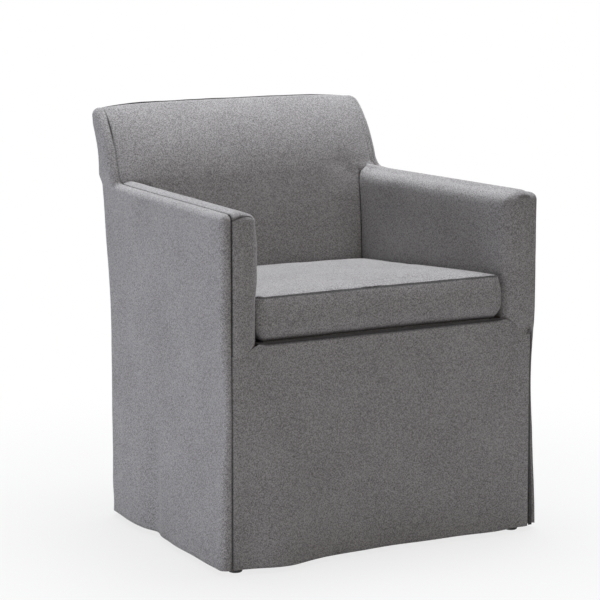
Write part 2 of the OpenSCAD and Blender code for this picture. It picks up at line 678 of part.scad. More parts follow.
module front_seat_rail() {
    color("#b98f5c") difference() {
        cross_bar(seat_bar(front_rail_y, front_rail_rear));
        both_sides() screw_holes();
    }
}
module rear_seat_rail() {
    color("#b98f5c") difference() {
        cross_bar(seat_bar(rear_rail_y, rear_rail_y + rail_thickness));
        both_sides() screw_holes();
    }
}
rail_depth_room = 55;
module side_seat_rail() {
    y0 = post_back + glue_line;
    z = [lean_start - rail_height - rail_depth_room, lean_start];
    intersection() {
        left_frame() side_profile([
            [y0, z[0]], [along_post(z[0], true) - glue_line, z[0]],
            [along_post(z[1], true) - glue_line, z[1]], [y0, z[1]]],
            post_inner - rail_thickness, rail_thickness);
        pitched() translate([-arm_span / 2, 0, rail_low])
            cube([arm_span, base_depth, cross_seat - rail_low]);
    }
}
module side_seat_rail_left() {
    color("#b98f5c") difference() { side_seat_rail(); screw_holes(); }
}
module side_seat_rail_right() {
    color("#b98f5c") mirrored() difference() { side_seat_rail(); screw_holes(); }
}

module arm_rail() {
    left_frame() side_profile([
        [post_front, arm_rail_bottom], [along_post(arm_rail_bottom, true) - glue_line, arm_rail_bottom],
        [along_post(arm_rail_top, true) - glue_line, arm_rail_top], [post_front, arm_rail_top]],
        post_depth, post_width);
}
module arm_rail_left() { color("#c19a66") arm_rail(); }
module arm_rail_right() { color("#c19a66") mirrored() arm_rail(); }

rail_step = 1.2;
function back_rail_rear(z) = frame_y(post_depth, along_post(z, false)) - rail_step;
function back_bar(z0, z1) = [
    [back_rail_rear(z0), z0], [back_rail_rear(z0) - rail_thickness, z0],
    [back_rail_rear(z1) - rail_thickness, z1], [back_rail_rear(z1), z1]];
back_rail_height = 45;
crest_bottom = post_levels[3] - back_rail_height;
lower_rail_bottom = lean_start + lean_blend;
lower_rail_top = lower_rail_bottom + back_rail_height;
module crest_rail() { color("#c19a66") cross_bar(back_bar(crest_bottom, post_levels[3])); }
module lower_back_rail() { color("#c19a66") cross_bar(back_bar(lower_rail_bottom, lower_rail_top)); }

module corner_block(k) {
    y0 = block_face[k];
    y1 = y0 + block_sense[k] * block_leg;
    difference() {
        translate([0, front_y, block_z[k]]) linear_extrude(block_height) polygon([
            [inner_x(y0) + glue_line, y0], [inner_x(y0) + block_leg, y0], [inner_x(y1) + glue_line, y1]]);
        cross_screw(k, nail_clear);
        side_screw(k, nail_clear);
    }
}
module corner_blocks() { color("#a9834f") both_sides() for (k = [0, 1]) corner_block(k); }
module block_screws() {
    color("#9aa0a6") both_sides() for (k = [0, 1]) { cross_screw(k, 0); side_screw(k, 0); }
}

module glide() {
    rim = 1.5;
    sink = nail_head_radius + 0.5;
    rotate_extrude() polygon([
        [nail_radius + nail_clear, glide_height], [glide_radius, glide_height],
        [glide_radius, rim], [glide_radius - rim, 0], [sink, 0],
        [sink, nail_recess + nail_head], [nail_radius + nail_clear, nail_recess + nail_head]]);
}
module glide_nail() {
    translate([0, 0, nail_recess]) {
        cylinder(r = nail_head_radius, h = nail_head);
        cylinder(r = nail_radius, h = nail_length);
    }
}
module glides() {
    color("#1c1c1e") both_sides() left_frame() for (i = [0, 1]) at_nails(i) glide();
}
module glide_nails() {
    color("#a7abb0") both_sides() left_frame() for (i = [0, 1]) at_nails(i) glide_nail();
}

// Lining boards on the arm frames and behind the back
board_rise = 12;
board_drop = 4;
board_low = front_seam + board_rise;
board_rear = along_post(board_low, true);
module arm_board(depth, low) {
    left_frame() translate([depth, post_front, low])
        cube([board, board_rear - post_front, arm_rail_top - board_drop - low]);
}
inner_board_depth = post_inner + glue_line;
outer_board_depth = post_depth - glue_line - board;
module arm_board_inner_left() { color("#8a6a45") arm_board(inner_board_depth, board_low); }
module arm_board_inner_right() { color("#8a6a45") mirrored() arm_board(inner_board_depth, board_low); }
module arm_board_outer_left() { color("#8a6a45") arm_board(outer_board_depth, board_low); }
module arm_board_outer_right() { color("#8a6a45") mirrored() arm_board(outer_board_depth, board_low); }

back_board_low = front_seam - 60;
back_board_high = crest_bottom + 25;
module back_board() {
    edge = 2;
    span = 2 * (seam_half(rear_y(back_board_high), seam_inset) - edge);
    levels = [back_board_low, post_levels[1], post_levels[2], back_board_high];
    function rear_face(z) = frame_y(post_depth, along_post(z, false)) + glue_line;
    color("#8a6a45") translate([-span / 2, front_y, 0]) side_profile(concat(
        [for (z = levels) [rear_face(z) + board, z]],
        [for (i = [3 : -1 : 0]) [rear_face(levels[i]), levels[i]]]), 0, span);
}

// Webbing straps: lengthwise on the cross rails, crosswise under them on the side rails
long_straps = 5;
cross_straps = 5;
strap_lap = 18;
strap_pitch = 78;
strap_room = [4, 9];
module seat_straps_long() {
    length = (rear_rail_y + strap_lap - front_rail_y - rail_thickness + strap_lap) / cos(seat_pitch);
    color("#3a3a3c") pitched() for (i = [0 : long_straps - 1])
        translate([(i - (long_straps - 1) / 2) * strap_pitch - strap_width / 2,
            front_rail_rear - strap_lap - deck_round, long_top - strap])
            cube([strap_width, length, strap]);
}
module seat_straps_cross() {
    y_first = post_back + strap_room[0] + strap_width / 2;
    y_step = (rear_rail_y - strap_room[1] - strap_width / 2 - y_first) / (cross_straps - 1);
    color("#48484b") pitched() for (i = [0 : cross_straps - 1]) {
        y = y_first + i * y_step;
        half = -inner_x(y) + strap_lap;
        translate([-half, y - deck_round - strap_width / 2, cross_top - strap])
            cube([2 * half, strap_width, strap]);
    }
}
back_strap_levels = [lower_rail_top + 15, arm_rail_bottom - 30, curl_start + 28];
module back_straps() {
    color("#3a3a3c") for (z = back_strap_levels) {
        y = frame_y(post_inner, along_post(z, true)) - 2 * glue_line;
        lean = atan(along_post(z + 1, true) - along_post(z, true));
        half = -inner_x(y) + strap_lap;
        translate([0, y + front_y, z]) rotate([-lean, 0, 0]) translate([-half, -strap, -strap_width / 2])
            cube([2 * half, strap, strap_width]);
    }
}

// Foam
foam_margin = 3;
module deck_foam_pad() {
    y0 = front_rail_y + 11;
    y1 = inside_y(0, tuck_z(back_foot)) - foam_margin - 1;
    color("#e8dfae") deck_plan(y0, y1, foam_low, deck_foam, foam_margin);
}
foam_relief = 1.3;
foam_chamfer = 22;
arc_steps = 6;
function arc(center, r, a0, a1) = [
    for (j = [0 : arc_steps]) let(a = mix(a0, a1, j / arc_steps)) center + r * [cos(a), sin(a)]];
function flat_map(depth, y) = let(p = left_map([depth, y, 0])) [p[0], p[1]];
module arm_foam() {
    near = cloth + ease;
    far = arm_width - near - ease;
    top = arm_height - near;
    r = corner_round - near + foam_relief;
    y_end = inside_y(arm_inner_half(back_foot), arm_rail_bottom) - 2 * foam_margin;
    y_mid = near + r;
    toe = near - arm_width * sin(taper);
    section = concat(
        [[near + foam_margin, board_low], [far, board_low]],
        arc([far - r, top - r], r, 0, 90), arc([near + r, top - r], r, 90, 180),
        [[near, mix(front_seam, arm_height - corner_round, 1 / arm_rows) + foam_margin]]);
    difference() {
        intersection() {
            left_frame() side_profile([
                [toe, board_low - 1], [toe, top - foam_chamfer], [near + foam_chamfer, top + 1],
                [base_depth, top + 1], [base_depth, board_low - 1]], 0, arm_width);
            left_frame() translate([0, base_depth, 0]) rotate([90, 0, 0])
                linear_extrude(base_depth + arm_width) polygon(section);
            translate([0, 0, board_low - 1]) linear_extrude(arm_height) polygon(concat(
                [flat_map(far, y_end), flat_map(near, y_end)],
                arc(flat_map(near + r, y_mid), r, 180 - taper, 270),
                arc(flat_map(far - r, y_mid), r, 270, 360 - taper)));
        }
        left_frame() translate([outer_board_depth - ease, post_front - ease, board_low - 2])
            cube([inner_board_depth + board + 2 * ease - outer_board_depth, base_depth,
                arm_rail_top + ease - board_low + 2]);
    }
}
module arm_foam_left() { color("#e8dfae") arm_foam(); }
module arm_foam_right() { color("#e8dfae") mirrored() arm_foam(); }

// Back foam fills from the inside back to the posts and wraps the crest rail
foam_steps = [0.04, 0.2, 0.4, 0.6, 0.8, 1, 1.5, 2, 3];
rest_steps = [0, 0, 0, 0, 0, 0.15, 0.4, 0.7, 1];
foam_rows = narrow_rows + len(foam_steps);
foam_narrowing = 0.985;
foam_lift = 4;
strap_clear = 1.1;
function back_foam_front(r, c) =
    let(d = cloth + 4 * ease)
    r < narrow_rows
    ? let(p = inside_back_point(r, c, d))
        [p[0] * foam_narrowing, p[1], p[2] + foam_lift * (1 - r / narrow_rows)]
    : let(
        s = foam_steps[r - narrow_rows], p = seam_yz(s), n = turn_dir(seam_turn(s)),
        wide = seam_half(p[0], seam_inset + seam_gap / 2), low = seam_yz(0),
        half = (arm_inner_half(inside_y(0, low[1])) - seam_gap) * foam_narrowing,
        x = back_x(c, half, wide - foam_margin), e = p + n * (seam_crown(s) * across(x / wide, s) - d)
    ) [x, e[0] + front_y, e[1]];
function back_foam_rear(r, c) =
    let(
        p = back_foam_front(r, c), top = post_levels[3],
        z = min(p[2], top),
        y_near = frame_y(post_inner, along_post(z, true)) - strap - strap_clear,
        y_far = frame_y(post_inner, along_post(z, false)) - foam_margin,
        over = p[2] > top ? ease : 0,
        t = r < narrow_rows ? 0 : rest_steps[r - narrow_rows]
    )
    [p[0], mix(y_near, y_far, t) + front_y, z + over];
module back_foam() {
    front = [for (r = [0 : foam_rows - 1]) [for (c = [0 : back_cols - 1]) back_foam_front(r, c)]];
    rear = [for (r = [0 : foam_rows - 1]) [for (c = [0 : back_cols - 1]) back_foam_rear(r, c)]];
    cells = [
        for (r = [0 : foam_rows - 2]) [
            for (c = [0 : back_cols - 2]) r >= narrow_rows || (c >= 2 && c < back_cols - 3)]];
    color("#e8dfae") sheet(front, rear, cells);
}

// Deck cloth under the cushion and dust cloth under the rails
module deck_plan(y0, y1, level, t, inset) {
    pitched() translate([0, 0, level]) linear_extrude(t) polygon([
        [-arm_inner_half(y0) + inset, y0 - deck_round], [arm_inner_half(y0) - inset, y0 - deck_round],
        [arm_inner_half(y1) - inset, y1 - deck_round], [-arm_inner_half(y1) + inset, y1 - deck_round]]);
}
module deck_cloth() {
    y1 = inside_y(0, tuck_z(back_foot)) - 1;
    color("#55555a") deck_plan(deck_lap + seam_gap, y1, -cloth, cloth, cloth + ease);
}
// The dust cloth laps onto the four rails and is cut out round the posts
dust = 1;
dust_lap = 6;
dust_clear = 4;
function dust_side(y, lap) = -inner_x(y) + lap;
module dust_cloth() {
    rear_post = along_post(front_seam, true);
    y = [
        front_rail_y + dust_lap, post_back + dust_clear,
        rear_post - 2 * dust_clear, rear_rail_y + rail_thickness - dust_lap];
    lap = [-dust_clear, rail_thickness - dust_lap];
    half = [
        [dust_side(y[0], lap[0]), y[0]], [dust_side(y[1], lap[0]), y[1]], [dust_side(y[1], lap[1]), y[1]],
        [dust_side(y[2], lap[1]), y[2]], [dust_side(y[2], lap[0]), y[2]], [dust_side(y[3], lap[0]), y[3]]];
    color("#222224") pitched() translate([0, -deck_round, rail_low - dust - glue_line]) linear_extrude(dust)
        polygon(concat(half, [for (i = [5 : -1 : 0]) [-half[i][0], half[i][1]]]));
}

// Cushion outline in plan, in the deck's frame: corners are arcs, the front and sides draw in
cushion_front = 3 - deck_round;
cushion_rear = cushion_front + cushion_depth;
corner_steps = 4;
edge_steps = 6;
function cushion_half(y) = arm_inner_half(y + deck_round) - cushion_gap;
function corner_center(k, r) =
    let(y = k == 0 || k == 1 ? cushion_front + r : cushion_rear - r, x = cushion_half(y) - r / cos(taper))
    [k == 1 || k == 2 ? x : -x, y];
corner_angles = [[180 - taper, 270], [270, 360 + taper], [taper, 90], [90, 180 - taper]];
function arc_point(k, j, inset) =
    let(a = mix(corner_angles[k][0], corner_angles[k][1], j / corner_steps))
    corner_center(k, cushion_corner) + (cushion_corner - inset) * [cos(a), sin(a)];
edge_normals = [[0, 1], [-1, 0], [0, 0], [1, 0]];
function outline(inset) = [
    for (k = [0 : 3]) each [
        for (j = [0 : corner_steps]) arc_point(k, j, inset),
        for (j = [1 : edge_steps - 1])
            let(
                t = j / edge_steps, p = arc_point(k, corner_steps, inset),
                q = arc_point((k + 1) % 4, 0, inset))
            mix(p, q, t) + edge_normals[k] * cushion_waist * sin(180 * t)
    ]
];
side_count = corner_steps + edge_steps;
function border_inset(v) = v > 0.5 ? 3.5 * pow(2 * v - 1, 2) : 12 * pow(1 - 2 * v, 3);
function ring(inset, z) = [for (p = outline(inset)) [p[0], p[1], z]];
cushion_middle = [0, (cushion_front + cushion_rear) / 2];
function shrunk(inset, s, z) = [
    for (p = outline(inset)) let(q = mix(cushion_middle, p, s)) [q[0], q[1], z]];
function top_z_at(s) = cushion_height + cushion_crown * (1 - pow(s, 2.5));
module on_deck() { pitched() translate([0, 0, ease]) children(); }
top_steps = [0.4, 0.7, 0.88, 1];

module cushion_top() {
    e = border_inset(1);
    color("#b9b9be") on_deck() loft(concat(
        [for (s = top_steps) shrunk(e, s, top_z_at(s))],
        [for (k = [len(top_steps) - 1 : -1 : 0]) shrunk(e, top_steps[k], top_z_at(top_steps[k]) - cloth)]),
        [cushion_middle[0], cushion_middle[1], top_z_at(0)],
        [cushion_middle[0], cushion_middle[1], top_z_at(0) - cloth]);
}
module cushion_bottom() {
    e = border_inset(0);
    color("#6b6866") on_deck() loft([ring(e, cloth), ring(e, 0)],
        [cushion_middle[0], cushion_middle[1], cloth], [cushion_middle[0], cushion_middle[1], 0]);
}
zip_window = [(cushion_height - zip_height) / 2 - seam_gap, (cushion_height + zip_height) / 2 + seam_gap];
border_low = cloth + seam_gap;
border_high = cushion_height - cloth - seam_gap;
border_heights = [
    border_low, border_low + 10, zip_window[0], zip_window[1],
    mix(zip_window[1], border_high, 0.55), border_high];
function border_v(z) = (z - border_low) / (border_high - border_low);
function rear_edge_cell(c) = c > 2 * side_count + corner_steps && c < 3 * side_count - 1;
function border_grid(d) = [
    for (z = border_heights) ring(border_inset(border_v(z)) + d, z)];
module cushion_border() {
    cells = [
        for (r = [0 : len(border_heights) - 2]) [
            for (c = [0 : 4 * side_count - 1]) !(r == 2 && rear_edge_cell(c))]];
    color("#706e6d") on_deck() sheet(border_grid(0), border_grid(cloth), cells, true);
}
module cushion_foam() {
    e = cloth + ease;
    color("#e8dfae") on_deck() loft(concat(
        [for (s = [0.4, 0.75, 1]) shrunk(border_inset(1) + e + 1, s, top_z_at(s) - cloth - 2 * ease)],
        [for (v = [0.5, 0.15]) ring(border_inset(v) + e + 1, mix(border_low, border_high, v))],
        [ring(border_inset(0) + e + 1, border_low)]),
        [cushion_middle[0], cushion_middle[1], top_z_at(0) - cloth - 2 * ease],
        [cushion_middle[0], cushion_middle[1], border_low]);
}

// Zip in the window of the rear border: tape with its chain, and a slider that rides over the chain
zip_from = mix(arc_point(2, corner_steps, 0), arc_point(3, 0, 0), 1 / edge_steps)[0];
zip_length = 2 * zip_from - 2 * seam_gap;
zip_z = cushion_height / 2;
chain_height = 4;
chain = 0.8;
chain_end = 2;
chain_sink = 0.5;
slider_clear = 0.25;
slider_wall = 1;
slider_start = zip_length / 2 - slider_length - chain_end - 1;
module cushion_zip() {
    color("#2b2b2d") on_deck() translate([0, cushion_rear, zip_z]) union() {
        translate([-zip_length / 2, -zip_tape, -zip_height / 2]) cube([zip_length, zip_tape, zip_height]);
        translate([-zip_length / 2 + chain_end, -chain_sink, -chain_height / 2])
            cube([zip_length - 2 * chain_end, chain + chain_sink, chain_height]);
    }
}
module zip_slider() {
    outer = chain_height / 2 + slider_clear + slider_wall;
    color("#8f949a") on_deck() translate([slider_start, cushion_rear + slider_clear, zip_z]) union() {
        difference() {
            translate([0, 0, -outer]) cube([slider_length, chain + slider_wall, 2 * outer]);
            translate([-1, -1, -chain_height / 2 - slider_clear])
                cube([slider_length + 2, 1 + chain, chain_height + 2 * slider_clear]);
        }
        translate([slider_length / 2 - 2, chain + slider_wall - 0.1, -outer - 6]) cube([4, 0.9, outer + 6]);
    }
}

front_post_left();
front_post_right();
rear_post_left();
rear_post_right();
front_seat_rail();
rear_seat_rail();
side_seat_rail_left();
side_seat_rail_right();
arm_rail_left();
arm_rail_right();
crest_rail();
lower_back_rail();
corner_blocks();
block_screws();
glides();
glide_nails();
arm_board_inner_left();
arm_board_inner_right();
arm_board_outer_left();
arm_board_outer_right();
back_board();
seat_straps_long();
seat_straps_cross();
back_straps();
deck_foam_pad();
arm_foam_left();
arm_foam_right();
back_foam();
side_cover_left();
side_cover_right();
arm_cover_left();
arm_cover_right();
inside_back_cover();
outside_back_cover();
front_cover();
deck_cloth();
dust_cloth();
pleat_flap_left();
pleat_flap_right();
cushion_top();
cushion_border();
cushion_bottom();
cushion_foam();
cushion_zip();
zip_slider();
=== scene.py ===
# %% [markdown]
# # A dining armchair with a fitted cover
#
# The chair is a timber frame with foam on its arms and back, a cloth cover that hangs to the floor and a
# loose boxed seat cushion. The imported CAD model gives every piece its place. The timber, the screws and the
# glides keep their CAD shapes here and get a finish. Everything soft is built again in finer form: the cover
# panels from the same curves as the CAD source, the cushion by a pressure simulation, and the small things
# that repeat with Geometry Nodes.

# %% Load the frame
import math

import bmesh
import bpy
import numpy as np
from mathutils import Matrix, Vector, kdtree


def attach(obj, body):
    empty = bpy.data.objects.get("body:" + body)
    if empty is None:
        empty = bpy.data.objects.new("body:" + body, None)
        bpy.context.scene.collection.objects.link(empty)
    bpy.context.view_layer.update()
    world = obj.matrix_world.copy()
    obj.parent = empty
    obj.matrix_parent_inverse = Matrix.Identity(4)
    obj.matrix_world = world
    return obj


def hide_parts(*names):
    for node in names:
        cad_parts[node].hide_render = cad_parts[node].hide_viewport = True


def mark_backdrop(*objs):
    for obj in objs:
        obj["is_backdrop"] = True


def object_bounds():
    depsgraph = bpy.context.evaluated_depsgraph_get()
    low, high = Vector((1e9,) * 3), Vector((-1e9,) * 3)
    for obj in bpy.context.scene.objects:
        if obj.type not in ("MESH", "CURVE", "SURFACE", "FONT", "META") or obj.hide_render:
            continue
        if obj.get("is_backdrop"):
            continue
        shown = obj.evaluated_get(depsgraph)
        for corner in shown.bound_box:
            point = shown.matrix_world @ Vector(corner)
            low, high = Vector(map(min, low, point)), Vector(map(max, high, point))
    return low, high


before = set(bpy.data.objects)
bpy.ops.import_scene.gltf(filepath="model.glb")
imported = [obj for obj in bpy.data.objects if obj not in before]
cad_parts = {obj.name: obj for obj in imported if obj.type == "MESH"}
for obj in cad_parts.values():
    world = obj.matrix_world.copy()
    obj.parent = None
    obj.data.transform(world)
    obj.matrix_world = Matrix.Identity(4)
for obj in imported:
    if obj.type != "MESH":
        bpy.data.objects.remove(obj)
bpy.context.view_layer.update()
MM = 0.001

# %% [markdown]
# ## The chair's sizes
#
# These are the sizes of the CAD source, in millimetres. Depths are measured back from the arm fronts and
# heights from the floor, so the front of the arms is at depth 0 and `front_y` moves a depth into the frame.

# %% Sizes
height, hem_height = 780.0, 10.0
arm_span, arm_width, arm_height = 660.0, 72.0, 636.0
# the rear face leans back from lean_start up and curls at the top
back_span, base_depth, back_thickness = 594.0, 500.0, 61.0
base_slope, back_slope, lean_start = 0.025, 0.135, 400.0
back_curl, curl_run = 20.0, 90.0
# the front edge of the back's side, and how far foam crowns a panel between its seams
edge_slope, edge_roll = 0.2, 86.0
back_crown, top_crown, arm_crown = 28.0, 6.0, 3.0
# the deck under the cushion, and the depth at which the inside back meets it
deck_height, seat_pitch, deck_round, back_foot = 406.0, 3.3, 9.0, 452.0
# the cloth, the gap of a seam, the rounding of the padding, and how far a panel wraps to its seam
cloth, seam_gap, corner_round, seam_inset, fillet = 2.0, 0.4, 14.0, 18.0, 5.0
# the seam under the arm fronts, and the skirt that hangs below it
front_seam, skirt_tuck, hem_swell, hem_flare, rear_flare, pleat_width = 390.0, 8.0, 22.0, 3.0, 9.0, 55.0
# the taper runs on behind the base, and the roll of the front edge ends above the side's top
taper_extra, roll_extra = 20.0, 12.0
side_run = base_depth + taper_extra
taper_tan = (arm_span - back_span) / 2 / side_run
side_top = height - top_crown
edge_run = side_top - arm_height + roll_extra
panel_inset = seam_inset + seam_gap / 2
front_y = -284.409

# %% [markdown]
# ## Curves that all panels share
#
# A cover is cut so that its panels meet at seams, so the panels are built from one set of curves. First come
# the small formulas that shape all of them, and the line of the back's rear face. Easing functions are used
# instead of sculpting, because a formula can be read and changed.

# %% Formulas and the rear face
def clamp01(t):
    return np.clip(t, 0.0, 1.0)


def mix(a, b, t):
    return a + (b - a) * t


def bell(t):
    return np.exp(-t * t)


def smooth(t):
    c = clamp01(t)
    return c * c * (3 - 2 * c)


def ramp(t, w):
    """0 below and t above, with a soft bend of half width w between them."""
    return np.where(t <= -w, 0.0, np.where(t >= w, t, (t + w) ** 2 / (4 * w)))


def rear_y(z, fullness=9.0):
    """Depth of the rear face at a height. The padding makes it a little fuller between seat and shoulders."""
    z = np.asarray(z, float)
    curl = back_curl * np.clip((z - (height - 130)) / curl_run, 0, 1.03) ** 2
    full = fullness * smooth((z - 60) / 200) * smooth((700 - z) / 60)
    return base_depth + base_slope * z + back_slope * ramp(z - lean_start, 40) + curl + full

# %% [markdown]
# Seen from the side, the perimeter seam climbs the front edge of the back from a small fillet at the arm,
# turns over the top and comes down the rear. One number s runs along it: 0 at the fillet, 1 at the end of
# the front edge, 2 and 3 at the two ends of the top, 4 past the rear corner and 5 at the hem.

# %% The seam round the back
edge_foot = float(rear_y(arm_height, 0.0)) - back_thickness


def edge_y(z):
    """Depth of the front edge of the back's side."""
    t = np.clip((np.asarray(z, float) - arm_height) / edge_run, 0, 0.995)
    return edge_foot + edge_slope * (z - arm_height) + edge_roll * (1 - np.sqrt(1 - t * t))


def edge_turn(z):
    return np.degrees(np.arctan(edge_y(z + 0.5) - edge_y(z - 0.5)))


def turn_dir(psi):
    """The direction (depth, height) of a turn in degrees: 0 forward, 90 up, 180 to the rear."""
    return np.stack([-np.cos(np.radians(psi)), np.sin(np.radians(psi))], -1)


turn_low = math.degrees(math.atan(edge_slope))
low_sin, low_cos = math.sin(math.radians(turn_low)), math.cos(math.radians(turn_low))
fillet_start = edge_y(arm_height + fillet * (1 - low_sin))
fillet_center = np.array([fillet_start - fillet * low_cos, arm_height + fillet])
edge_low = fillet_center[1] - fillet * low_sin
turn_top = float(edge_turn(side_top - 0.3 * corner_round))
edge_high = side_top - corner_round * (1 - math.sin(math.radians(turn_top)))
top_z = edge_high - corner_round * math.sin(math.radians(turn_top))
rear_corner = np.array([float(rear_y(top_z)) - corner_round, top_z])


def edge_base(z, turn):
    return np.stack([edge_y(z), z], -1) - corner_round * turn_dir(turn)


front_corner = edge_base(np.array(edge_high), np.array(turn_top))


def seam_turn(s):
    """Where the padding faces at s, in degrees."""
    s = np.asarray(s, float)
    on_edge = edge_turn(mix(edge_low, edge_high, clamp01(s)))
    return np.where(s <= 1, on_edge, np.where(s <= 2, mix(turn_top, 90, s - 1),
        np.where(s <= 3, 90.0, np.where(s <= 4, mix(90, 180, s - 3), 180.0))))


def seam_yz(s):
    """The seam line in depth and height."""
    s = np.asarray(s, float)
    low = mix(edge_low, edge_high, clamp01(s))
    z = mix(top_z, hem_height, clamp01(s - 4))
    round_y, round_z = (corner_round * v for v in np.moveaxis(turn_dir(seam_turn(s)), -1, 0))
    along_top = mix(front_corner[0], rear_corner[0], s - 2)
    y = np.where(s <= 1, edge_y(low), np.where(s <= 2, front_corner[0] + round_y,
        np.where(s <= 3, along_top, np.where(s <= 4, rear_corner[0] + round_y, rear_y(z)))))
    h = np.where(s <= 1, low, np.where(s <= 2, front_corner[1] + round_z,
        np.where(s <= 3, top_z + corner_round, np.where(s <= 4, rear_corner[1] + round_z, z))))
    return y, h


print("front edge", round(edge_low, 2), round(edge_high, 2), "fillet", fillet_center.round(2),
    "top", round(top_z, 2))

# %% [markdown]
# Foam crowns the panels between their seams, and the chair narrows towards the rear. These formulas give the
# half widths at a depth, the height of the deck, and the depth of the inside back.

# %% Between the seams
def seam_crown(s):
    return np.interp(s, [0, 1, 2, 3, 4], [back_crown, top_crown + 2, top_crown, top_crown, 2.0])


def across(u, s=1.0):
    """How the crown fades towards the sides of the back."""
    return 1 - np.minimum(1, np.abs(u)) ** mix(8.0, 5.0, clamp01(np.asarray(s, float)))


def seam_half(y, inset):
    return arm_span / 2 - y * taper_tan - inset


def arm_inner_half(y):
    return arm_span / 2 - arm_width - y * taper_tan


def tuck_z(y):
    """Height of the deck at a depth."""
    return deck_height - (y - deck_round) * math.tan(math.radians(seat_pitch))


fillet_y, fillet_z = (float(v) for v in seam_yz(0))


def belly(z):
    """Padding rounds the bend at arm height: how far it eases back from the two straight lines there."""
    turn = (edge_slope + (back_crown - top_crown - 2) / (edge_high - edge_low)
        - (fillet_y - back_crown - back_foot) / (fillet_z - deck_height))
    return turn * (ramp(z - fillet_z - 5, 120) - np.maximum(0, z - fillet_z - 5))


def inside_y(x, z):
    """Depth of the inside back between the arms."""
    t = clamp01((z - deck_height) / (fillet_z - deck_height))
    foot = mix(back_foot, fillet_y - back_crown, t)
    flatter = 1 - across(x / seam_half(fillet_y, seam_inset), 0)
    return foot + back_crown * mix(0.5, 1, t) * flatter + belly(z)

# %% [markdown]
# Below the seat the cover hangs free. It is drawn in a little under the seat and flares at the hem, most at
# the rear, so one formula of depth and height pushes the side out or in.

# %% Hanging sides
def swell(y, z):
    """How far the hanging side stands out from its plane."""
    drawn_in = -skirt_tuck * (1 - np.cos(np.radians(360 * (z - 140) / 300))) / 2
    tuck = np.where(z > 440, 0.0, np.where(z < 140, hem_flare * (140 - z) / 130, drawn_in))
    tuck = tuck * (1 - 0.8 * smooth((y - 80) / 300))
    low = clamp01(1 - (z - hem_height) / 370) ** 2
    rear = 3.2 * smooth((y - 330) / 150) * smooth((z - 20) / 60) * smooth((480 - z) / 150)
    folds = rear_flare * y / base_depth - 9.5 * bell((y - 300) / 24) + 5 * bell((y - 385) / 55)
    return tuck + rear + low * folds


def seam_under_arm(depth):
    return front_seam + 16 * smooth((depth - 38) / 36)

# %% [markdown]
# ## Soft unevenness
#
# Cloth over foam is never quite flat. A few layers of smooth random waves, always from the same seed, give
# the long shallow hollows of the skirt and the small puckers along a seam.

# %% Smooth waves
TABLE = 64


def waves(u, v, seed):
    """Smooth random waves from -1 to 1 over two coordinates, with one random number at each whole step."""
    table = np.random.default_rng(seed).uniform(-1, 1, (TABLE, TABLE))
    u, v = np.broadcast_arrays(np.asarray(u, float), np.asarray(v, float))
    i, j = np.floor(u).astype(int), np.floor(v).astype(int)
    a, b = smooth(u - i), smooth(v - j)

    def at(p, q):
        return table[p % TABLE, q % TABLE]

    return mix(mix(at(i, j), at(i + 1, j), a), mix(at(i, j + 1), at(i + 1, j + 1), a), b)


def skirt_waves(u, z, seed):
    """Long upright hollows that grow towards the hem, with small unevenness everywhere."""
    low = clamp01(1 - (z - hem_height) / 420)
    hollows = (0.25 + 1.3 * low ** 1.5) * waves(u / 62, z / 330, seed)
    return hollows + 0.35 * waves(u / 33, z / 75, seed + 1) + 0.12 * waves(u / 13, z / 17, seed + 2)


def pad_waves(u, v, seed):
    return 0.35 * waves(u / 48, v / 55, seed) + 0.14 * waves(u / 17, v / 19, seed + 1)

# %% [markdown]
# ## Uneven sewing
#
# A cover is never sewn quite even. Above the arms the back stands a few millimetres to the left, and padding
# fills the hollow where an arm top meets the back. Every point of every panel goes through this one shift, so
# that neighbours still meet at their seams.

# %% Uneven sewing
def settled(points):
    """Where points of the cover lie once it is sewn, in the frame's millimetres."""
    x, y, z = points[..., 0], points[..., 1] - front_y, points[..., 2]
    outer = smooth((np.abs(x) - 290) / 20)
    on_back = smooth((z - mix(632, 596, outer)) / mix(18, 70, outer)) * smooth((y - 440) / 15)
    at_edge = smooth(x / 250) * (1 - smooth((y - edge_y(z) - 2) / 12))
    filled = smooth((y - edge_foot + 60) / 60) * smooth((z - 600) / 34) * (1 - smooth((z - 645) / 50))
    out = points.copy()
    out[..., 0] -= (6 + 5 * smooth(x / 250) + 5 * at_edge) * on_back
    out[..., 2] += mix(1.0, 4.0, smooth(x / 250 + 0.5)) * filled * smooth((np.abs(x) - 212) / 26)
    return out

# %% [markdown]
# ## Patchwork
#
# A panel is laid out as several grids of points that share their borders. This class collects the grids,
# welds equal points, and makes one mesh with an unrolled UV map in metres, so that the weave runs straight
# over every panel. One attribute is 1 where shade is painted into the cloth's colour, in a seam or in a
# shadowed recess, and 0 elsewhere, and the cloth's colour is darkened there as painted shade.

# %% Patchwork
WELD = 0.02


def in_scene(name, data):
    """A new object at the origin."""
    ob = bpy.data.objects.new(name, data)
    bpy.context.scene.collection.objects.link(ob)
    return ob


def face_out(me, core):
    """Turns all faces of one connected sheet the same way, away from a point in millimetres."""
    bm = bmesh.new()
    bm.from_mesh(me)
    bmesh.ops.recalc_face_normals(bm, faces=bm.faces)
    middle = Vector([float(v) for v in core]) * MM
    if sum(f.normal.dot(f.calc_center_median() - middle) * f.calc_area() for f in bm.faces) < 0:
        bmesh.ops.reverse_faces(bm, faces=bm.faces)
    bm.to_mesh(me)
    bm.free()


